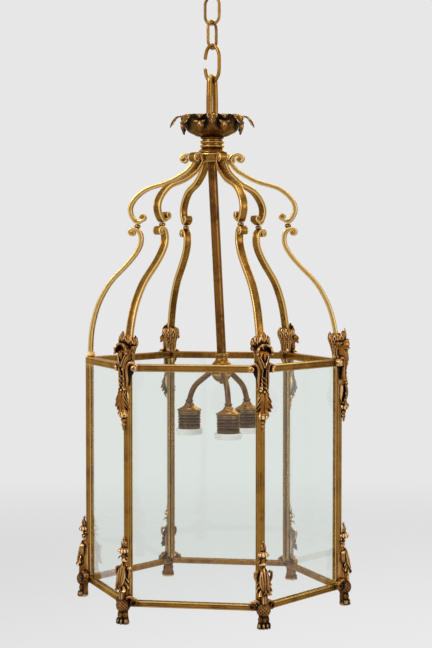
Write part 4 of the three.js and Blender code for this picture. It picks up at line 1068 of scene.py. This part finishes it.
def crownPiece():
    rim = levels("leaf_crown")[1]
    base = hubHigh[2] + arm["gap"]
    bore, neck, column = crown["bore"], crown["neck"], crown["column"]
    profile = raised([
        [bore, 0, 0.2], [neck, 0, 0.6], [neck + 0.2, 0.9, 0.4], [18.2, 1.7, 0.8], [18.4, 3.1, 0.8],
        [17.4, 4.1, 0.4], [22.5, 6.2, 2], [30, 8.4, 4], [36.6, 12.4, 4], [39.6, 17, 4], [41, 23, 4],
        [42.4, 29, 4]], base)
    profile += raised([[44.8, -3.6, 1], [46.4, -2.3, 0.8], [46.6, -1, 0.5], [45.2, -0.6, 0.5],
                       [43, -2.6, 1], [39.6, -9, 4]], rim)
    profile += raised([[37.6, 22, 4], [35, 17, 4], [30, 13, 4], [21, 10.6, 3], [column, 11, 0.8]], base)
    profile += raised([[column, -2, 0.5], [bore, -2, 0.2]], rim)
    spacing = tau / crown["leaves"]
    first = math.radians(crown["turn"])

    def lobed(radius, height, angle):
        share = eased(height, base + 4.5, base + 13) * (1 - 0.6 * eased(height, rim - 7, rim - 2))
        share = share * (radius > 12)
        away = 2 * np.abs(((angle - first) / spacing + 0.5) % 1 - 0.5)
        groove = np.exp(-(((1 - away) / 0.16) ** 2))
        vein = np.abs(np.sin(math.pi * (crown["veins"] * away - (height - rim) / 11))) ** 0.7 - 0.55
        vein = crown["veinDepth"] * vein * np.clip(4 * away, 0, 1) * (1 - groove)
        scallop = 0.7 * eased(height, rim - 4, rim - 1) * np.cos(4 * tau * (angle - first) / spacing)
        swell = share * (1.4 * (1 - away**2) + vein - crown["groove"] * groove)
        return radius + swell, height + scallop - 0.3

    cup = lathe(closedSoft(profile, 1.5), 216, lobed)
    leaf = castLeaf(raised([[41, -15, 6, -1.2], [43.6, -7, 8.4, -1.2], [47, -2.2, 8.8, 0.2],
                            [52, -0.9, 8.4, 1.8], [57, -2.2, 7.4, 3.2], [61.4, -6.4, 5.8, 3.8],
                            [64.4, -11.6, 3.9, 3], [65.9, -16.4, 1.8, 1.4], [66.3, -19.2, 0.3, 0.2]],
                           rim), "crownLeaf", face=-1, power=1.1)
    lip = castLeaf(raised([[42.6, -9, 4.5, -0.6], [45.4, -3.4, 6.2, 0.2], [48.6, -1.4, 6, 1.4],
                           [51.4, -2.8, 4.6, 2.2], [52.6, -6, 2.4, 1.4], [52.6, -8.4, 0.4, 0.3]], rim),
                   "crownLip", face=-1, power=1.2)
    droop = castLeaf(raised([[18.5, 5, 3.5, -0.5], [27, 7.6, 5.5, -1.2], [35, 12.4, 7.6, -1.8],
                             [40.6, 19, 8.8, -1.8], [44.6, 25, 8.8, -0.4], [48.4, 27, 8.2, 1.6],
                             [51.2, 24.4, 7.4, 3.2], [52, 18.6, 6, 3.6], [50.4, 12.6, 3.8, 2.4],
                             [48.4, 8.8, 0.8, 0.4]], base), "crownDroop", face=-1, bias=0.2)
    shells = [shell(cup, loop=True)]
    for i in range(crown["leaves"]):
        turn = crown["turn"] + 360 * i / crown["leaves"]
        shells += shifted([shell(leaf)], turn)
        shells += shifted(shellsOf(lip, droop), turn + 180 / crown["leaves"])
    points, quads, tris = joined(shells)
    # painted shade on the bowl and cup inside the ring of leaves, where the leaves shade it, added to the
    # hidden share
    wall = np.hypot(points[:, 0], points[:, 1])
    paintedShade = crown["paintedShade"] * eased(points[:, 2], base + 4, base + 9) * (1 - eased(wall, 47, 54))
    hidden = hiddenOf(points, quads, tris, 1.5) + paintedShade
    makePiece("crownLeaves", shells, ["leaf_crown"], hidden=hidden, reach=0.45, finish="shadedGilt")


crownPiece()
print("crown made")

# Corner mounts, in a corner's own axes: x outwards from the seat corner, y along the tangent, z up
mounts = {"seat": 206.3, "upperScroll": (15.6, -5.4, 6.9), "lowerScroll": (14, -1.4, 7.4), "stand": 4.2,
          "upperWidth": 8, "lowerWidth": 7, "cell": 0.9, "paintedShade": 0.26, "toePaintedShade": 0.12, "webPaintedShade": 0.6}


def railScroll(scroll, leadIn, button, width):  # a strap that rolls over each rail round a button
    shells = []
    for side in (1, -1):
        centre = scroll[:2]
        curl = rolled(centre, scroll[2], 90, -1, 1.15, (3.6, 2.4), width, gap=0.15)[::-1]
        line = through(np.vstack([curl, leadIn]), 100)
        for grid in (strap(line, plainSection), eye(centre, button[0], button[1], button[2])):
            along = np.array([-0.5, side * math.sqrt(0.75)])
            out = np.array([math.sqrt(0.75), side * 0.5])
            plan = grid[..., :1] * along + (grid[..., 1:2] + mounts["stand"]) * out
            shells.append(shell(np.concatenate([plan, grid[..., 2:]], axis=2)))
    return shells


def hood():  # a cowl over a dark mouth: an arch of thin wall with a rolled and scalloped front edge
    turn = np.radians(np.linspace(-24, 204, 72))[:, None]
    u = np.linspace(0, 1, 22)[None, :] ** 1.4
    scallop = np.abs(np.sin(3.5 * (turn + 0.3)))
    wall = 0.7 + (0.35 + 0.6 * scallop) * np.exp(-((u / 0.09) ** 2))
    across, up = np.cos(turn), np.sin(turn)
    x = 8.4 - 2 * up**2 - 14.5 * u + 1.3 * up + 1.2 * scallop * np.exp(-((u / 0.12) ** 2))
    y = (11.4 - 2.6 * u) * across
    z = 21 + (9.6 + 5.6 * u - 3.4 * u**2) * up
    outer, inner = (np.stack([x, y + side * across, z + side * up], axis=2) for side in (wall, -wall))
    return np.concatenate([outer, inner[:, ::-1]], axis=1)


def postShadowWeb():  # thin cheeks against the post beside the body, made dark as a sheet of painted shade in the hollow
    turn = np.linspace(-1, 1, 25)[None, :]
    level = np.linspace(-0.5, -34, 32)[:, None]
    y = turn * (8.4 + 3.6 * np.exp(-(((level + 11) / 7) ** 2))) * (1 - 0.2 * ((level + 17) / 17) ** 4)
    out = 1.6 - 0.62 * np.abs(y) ** 1.05
    front = np.stack([out + 0 * y, y, level + 0 * turn], axis=2)
    rear = front[:, ::-1] * [1, 0.97, 1] - [1.4, 0, 0]
    return [shell(np.concatenate([front, rear], axis=1))]


def upperRelief(y, z):
    ribs = ridge(y, z, [[-4, 0.2], [0, 1.4], [8, 4.6], [16, 7.4], [21, 8.6]], 0.95, 2.3)
    ribs += ridge(y, z, [[-9, 2.8], [-3, 3.4], [2, 5.2], [8, 7.8], [12, 9.2]], 0.8, 1.5)
    ribs += ridge(y, z, [[-37, 3.2], [-28, 3.9], [-14, 3.8], [-5, 2.8]], 1, 1.8)
    hollow = 2.6 * np.exp(-((y / (0.5 * np.clip(z, 0.5, 18))) ** 2)) * eased(z, 1, 7)
    deep = 1.2 + 3.2 * eased(z, -17, -13)
    slot = deep * np.exp(-((y / 2) ** 4)) * eased(z, -36, -31) * (1 - eased(z, -8, -3))
    twist = 0.9 * np.sin(0.95 * z + 0.9 * y) * np.exp(-((y / 4.6) ** 4)) * (1 - eased(z, -18, -13))
    return ribs - hollow - slot + twist


def upperMountShells():
    body = casting([
        [-42, 5.4, 3.4, -2, -6], [-38, 7.6, 5.4, -1, -6], [-34, 8, 6, -0.6, -6], [-29, 6.2, 5.6, -1, -6],
        [-18, 5.2, 5.8, -1.4, -6], [-8, 5.8, 6.8, -2, -6], [0.4, 8.4, 7.4, -1, -6], [10, 9.9, 7.4, 0, -6],
        [17, 9.8, 6.6, 0, -6], [22, 9, 4.4, -1, -6], [26, 7.6, 1, -2, -6]], upperRelief, 124, 49)
    sheath = barrel([[0.3, 8.6, -3, -16.5], [8, 9.2, -3, -17], [16, 9.6, -3, -17.8], [24, 9, -4, -17.5],
                     [30, 7, -6, -16.5]], 96, 36, 11, 0.14)
    shells = shellsOf(body, sheath, hood(), ball((6.4, 0.4, 12.5), (1.9, 2, 5.4)),
                      ball((7.4, 0, -1.6), (1.9, 2.2, 2.2)))
    for y, z, out, size in ((-5, -36.6, 5.4, 2.3), (5, -36.6, 5.4, 2.3), (0, -38, 6.2, 2.4),
                            (-11.4, 16.6, 8.6, 1.9), (11.4, 16.6, 8.6, 1.9)):
        shells.append(shell(ball((out, y, z), (size, size, size), 16, 24)))
    pendant = castLeaf([
        [3.4, -33, 6.5, -2], [5.4, -38, 9, -2.6], [7.2, -45, 12.6, -4], [8, -52, 14.4, -4.6],
        [7.2, -59, 13, -4.2], [5.6, -65, 9.6, -2.6], [6.8, -69.5, 6, -1], [8.6, -72, 2.4, 0]],
        "pendant", lean=0.8, plain=0.3)
    backing = barrel([[-70, 3, 2.4, -3], [-64, 5.5, 3.4, -5], [-52, 8, 4.2, -6], [-40, 6.5, 3, -5],
                      [-34, 6, 2, -5]])
    shells += shellsOf(pendant, backing)
    for turn, tip, wide in ((0, 49, 6.4), (40, 44, 6.4), (-40, 44, 6.4), (80, 40, 6.6), (-80, 40, 6.6),
                            (122, 40, 7), (-122, 40, 7), (160, 42, 6), (-160, 42, 6)):
        rise = (tip - 12) / 35
        stem = [(7, 0, 0.7, -1.6), (8.6, 8, 1, -2.2), (10.4, 15, 1.1, -2), (12.6, 21, 1, -1.2),
                (13, 27, 0.8, -0.6), (12, 32, 0.46, 0.4)]
        points = [[out, 12 + up * rise, share * wide, bend] for out, up, share, bend in stem]
        leaf = castLeaf(points + [[11.2, tip, 0.5, 0]], "upright", face=-1, lean=0.6)
        shells += shifted([shell(leaf)], turn, [-9.3, 0, 0])
    curled = castLeaf([[8, 18, 4, -1], [11.4, 24, 5, -1.2], [14.4, 26.4, 4.4, 0], [16.8, 24.6, 3.2, 1.2],
                       [17.4, 21.6, 0.7, 0.4]], "curled", face=-1)
    for side in (1, -1):
        shells += shifted([shell(curled)], side * 78, [-7.5, 0, 0])
    drop = softened([
        [0, -98], [0.9, -97.4, 0.6], [2.2, -95.4, 1], [1.6, -93, 1], [3.2, -90.6, 1.2], [3.4, -88.4, 1.2],
        [1.9, -86, 0.8], [4.2, -83.4, 1.2], [4.2, -81.2, 1.2], [2.6, -79, 0.8], [0, -78]], 0.8)
    shells += shellsOf(ball((2.8, 0, -74.6), (7.2, 7.8, 5.2), flutes=7, depth=0.2),
                       ball((4.4, 0, -70.8), (5.4, 5.4, 2.6), flutes=5, depth=0.15),
                       lathe(drop, 36, fluted(5, 0.2)) + [1.6, 0, 0])
    lead = [[11.4, 2.2, 4.2, 8], [7.6, 0.4, 4.8, 7.6], [5.2, -4.4, 4.8, 7], [4.6, -12, 4.4, 6.4],
            [5.4, -23, 3.8, 5.8], [4.4, -35, 2.8, 4.8]]
    return shells + railScroll(mounts["upperScroll"], lead, (5.3, 3, 4.2), mounts["upperWidth"]) + postShadowWeb()


def lowerRelief(y, z):
    stand = 4.6 * np.exp(-((y / 4.4) ** 6)) * eased(z, -2, 4) * (1 - eased(z, 20, 27))
    grooves = ridge(y, z, [[2, 1.6], [12, 1.7], [24, 1.7]], 0.55, -0.9)
    sides = ridge(y, z, [[-2, 7.4], [10, 6.8], [22, 7.2], [28, 7.4]], 0.9, 1.2)
    hollow = 2.2 * np.exp(-(((np.abs(y) - 5.4) / 0.9) ** 2)) * eased(z, 0, 5) * (1 - eased(z, 20, 27))
    return stand + grooves + sides - hollow


def plaitedKnee(rows=52, count=84):  # an egg crossed by two sets of slanting ridges
    angle = np.linspace(-math.pi / 2, math.pi / 2, rows)[:, None]
    turn = np.arange(count)[None, :] / count * tau
    plait = np.maximum(np.abs(np.sin(6 * turn + 7 * angle)), np.abs(np.sin(6 * turn - 7 * angle))) ** 2
    swell = 1 + 0.12 * (plait - 0.6) * np.cos(angle)
    x = 10.6 * swell * np.cos(angle) * np.cos(turn) + 3.4
    y = 10.2 * swell * np.cos(angle) * np.sin(turn)
    return np.stack([x, y, 11.4 * swell * np.sin(angle) * np.ones(count) - 5.6], axis=2)


def lowerMountShells():
    body = casting([
        [-3, 7.4, 6.4, -2, -6], [4, 8, 6.6, -2, -6], [14, 7.8, 6.2, -2, -6], [24, 8.4, 6, -2, -6],
        [36, 8.8, 6, -2, -6], [46, 7.8, 5, -2, -6], [54, 5.2, 3.6, -2, -6], [60, 4.4, 2.6, -2, -5]],
        lowerRelief, 96, 45)
    neck = barrel([[57, 4.6, 3, -4], [61, 5.6, 4.6, -4], [65, 4.6, 3.4, -4], [69, 5.4, 4, -4],
                   [72, 3.8, 3, -4]], 36, 24)
    leg = barrel([[-1, 8.2, 9, -4], [-12, 7.6, 9, -4], [-17, 6.6, 7.6, -4], [-23, 7.2, 7.6, -4],
                  [-29, 9.2, 8.2, -4], [-33, 9.6, 7.8, -4], [-34, 8.6, 7, -3]])
    drape = castLeaf([[3.2, 56, 4.6, -1], [5.8, 50, 8.6, -2.8], [7.6, 43, 11.4, -4.4], [8.6, 35, 13, -5.2],
                      [9.4, 28, 13.4, -4.6], [10.8, 22.6, 10.4, -2.4], [12.8, 19.4, 5.6, -0.6],
                      [14.4, 20, 1.6, 0]], "drape", lean=0.6, plain=0.12)
    shells = shellsOf(body, neck, leg, drape)
    petal = castLeaf([[4.6, 52, 1.6, -0.4], [7.4, 46.5, 3.2, -1], [9.4, 39, 4.2, -1.4], [10.8, 32, 3.6, -1],
                      [12.2, 26.6, 2, -0.2], [13.4, 23.6, 0.5, 0]], "petal")
    hook = (10.8, 49.4)
    curled = rolled(hook, 3.4, 0, 1, 0.95, (2.4, 1.6), 5.4, steps=16)[::-1]
    line = through(np.vstack([curled, [[13.2, 44.6, 3, 5.4], [11.6, 39, 3.4, 5.2], [8, 33, 3, 4.4]]]), 42)
    spray = castLeaf([[1.6, 76.5, 2.6, -0.4], [3.2, 81, 3.6, -0.8], [3.8, 85.5, 2.8, -0.3],
                      [3, 89.4, 1.4, 0.2], [1.6, 92, 0.4, 0]], "spray", face=-1)
    wing = castLeaf([[3.4, 64, 2, 0], [6.6, 66.4, 3, -0.6], [9.4, 65, 2.4, 0.4], [11, 62.2, 0.6, 0.2]],
                    "wing", face=-1)
    for side in (1, -1):
        shells.append(shell(petal + np.array([0, side * 4.2, 0])))
        for grid in (strap(line, plainSection), eye(hook, 1.8, 2.7, 0.9)):
            shells.append(shell(np.stack([grid[..., 1] + 2.6, side * grid[..., 0], grid[..., 2]], axis=2)))
        for out, level, wide in ((5.4, 27.5, 3), (3.6, 22.5, 2.6)):
            points = raised([[5, 7, 1.8, -0.4], [8, 3.5, wide, -0.8], [10.4, 0, 0.8 * wide, 0],
                             [12.2, -1.4, 0.5, 0]], level)
            tip = castLeaf(points, "tip")
            shells += shifted([shell(tip)], side * 68, [out - 2.4, 0, 0])
        shells += shifted([shell(spray)], side * 60, [1.2, 0, 0])
        shells += shifted([shell(wing)], side * 74, [-0.5, 0, 0])
    spike = softened([[0, 75], [2.6, 76, 0.5], [1.8, 84, 2], [0.9, 91, 0.5], [2, 92.4, 0.8], [2, 94.2, 0.9],
                      [0.9, 95.8, 0.5], [0, 96]], 0.8)
    shells += shellsOf(ball((3.2, 0, 75), (7.8, 8.8, 4.6), flutes=9, depth=0.22),
                       ball((2.8, 0, 78), (5.2, 5.6, 2.8), flutes=7, depth=0.15),
                       lathe(spike, 24) + [1.6, 0, 0], plaitedKnee())
    for y, out in ((-7.8, 6), (-2.7, 8.8), (2.7, 8.8), (7.8, 6)):
        shells += shellsOf(ball((out, y, -28.8), (4, 2.6, 4.6), 14, 24),
                           ball((out + 2.2, y, -32), (2.4, 1.5, 1.8), 10, 16))
    fetlock = castLeaf([[6.4, -13, 2.6, -0.6], [9, -17, 3.6, -1], [9.6, -21.5, 3.2, -0.8],
                        [9.4, -25, 0.8, 0]], "fetlock")
    for turn in (-46, 0, 46):
        shells += shifted([shell(fetlock)], turn)
    lead = [[9.6, 6.6, 4, 7.6], [5.8, 6.4, 4.4, 7.2], [3.2, 3, 4.6, 6.8], [2, -4, 4.6, 6.6]]
    return shells + railScroll(mounts["lowerScroll"], lead, (2.2, 1.2, 0.5), mounts["lowerWidth"])


upperMount, lowerMount = upperMountShells(), lowerMountShells()
# The hidden share paints shade into the mounts' colour. More painted shade goes on the cheeks, on the lower
# mount below the top of the bottom rail, and round its toes.
upperHidden, lowerHidden = (hiddenOf(*joined(made), mounts["cell"]) for made in (upperMount, lowerMount))
upperHidden[-len(upperMount[-1][0]):] += mounts["webPaintedShade"]
level = joined(lowerMount)[0][:, 2]
lowerHidden += mounts["paintedShade"] * (1 - eased(level, 0, 6)) + mounts["toePaintedShade"] * (1 - eased(level, -27, -23))
upperMount = shifted(upperMount, 0, [mounts["seat"], 0, 0])
lowerMount = shifted(lowerMount, 0, [mounts["seat"], 0, levels("bottom_frame")[1]])
for i, corner in enumerate(corners):
    if corner != "left":  # the photograph shows none there
        makePiece("mountUpper_" + corner, shifted(upperMount, 60 * i), ["upper_mount_" + corner],
                  hidden=upperHidden, reach=0.38, finish="castGilt")
    makePiece("mountLower_" + corner, shifted(lowerMount, 60 * i), ["lower_mount_" + corner],
              hidden=lowerHidden, reach=0.34, finish="castGilt")
print("mounts made")


# Floor, world and lamps
studio = {"floor": -1.35, "reach": 5, "fade": (1.2, 4.6), "wall": 0.80, "bounce": 0.55, "aim": (0, 0, -0.5)}
studioLamps = {  # place, size and power
    "keyLamp": ((-1.7, -2.2, 1.1), 1.4, 42), "fillLamp": ((2.4, -1.6, 0.1), 1.6, 14),
    "backLamp": ((0.9, 2.6, 1.2), 1.6, 26), "topLamp": ((0.1, 0.1, 1.7), 1.2, 14)}


def paleFloor():  # a disc that fades out with distance, and can't be seen from below
    steps = np.linspace(-1, 1, 41) * studio["reach"]
    x, y = np.meshgrid(steps, steps, indexing="ij")
    places = np.stack([x, y, np.full_like(x, studio["floor"])], axis=-1).reshape(-1, 3)
    index = np.arange(x.size).reshape(x.shape)
    quads = np.stack([index[:-1, :-1], index[1:, :-1], index[1:, 1:], index[:-1, 1:]], axis=-1)
    mesh = bpy.data.meshes.new("floor")
    mesh.from_pydata(places.tolist(), [], quads.reshape(-1, 4).tolist())
    floor = bpy.data.objects.new("floor", mesh)
    scene.collection.objects.link(floor)
    material, tree, place = newMaterial("paleFloor")
    level = node(tree, "VectorMath", {0: place, 1: (1, 1, 0)}, operation="MULTIPLY").outputs[0]
    distance = node(tree, "VectorMath", {0: level}, operation="LENGTH").outputs["Value"]
    fade = remap(tree, distance, *studio["fade"])
    below = node(tree, "NewGeometry").outputs["Backfacing"]
    pale = node(tree, "BsdfDiffuse", {"Color": colour(0.82, 0.82, 0.82)})
    gone = node(tree, "BsdfTransparent")
    share = larger(tree, fade, below)
    finishedBy(tree, node(tree, "MixShader", {0: share, 1: pale.outputs[0], 2: gone.outputs[0]}).outputs[0])
    mesh.materials.append(material)


def whiteWorld():  # paler where it is seen or mirrored than where it only lights
    world = bpy.data.worlds.new("studio")
    scene.world = world
    world.use_nodes = True
    tree = world.node_tree
    tree.nodes.clear()
    ray = node(tree, "LightPath").outputs
    mirrored = larger(tree, ray["Is Glossy Ray"], ray["Is Transmission Ray"])
    seen = larger(tree, ray["Is Camera Ray"], mirrored)
    level = node(tree, "Mix", {0: seen, 2: studio["bounce"], 3: studio["wall"]}).outputs[0]
    sky = node(tree, "Background", {"Color": colour(1, 1, 1), "Strength": level})
    node(tree, "OutputWorld", {"Surface": sky.outputs[0]})


def discLamp(name, place, size, power):
    lamp = bpy.data.lights.new(name, "AREA")
    lamp.shape = "DISK"
    lamp.size = size
    lamp.energy = power
    item = bpy.data.objects.new(name, lamp)
    scene.collection.objects.link(item)
    item.location = place
    x, y, z = np.array(studio["aim"]) - place
    item.rotation_euler = (math.atan2(math.hypot(x, y), -z), 0, math.atan2(-x, y))


paleFloor()
whiteWorld()
for name, (place, size, power) in studioLamps.items():
    discLamp(name, place, size, power)
print("studio made")
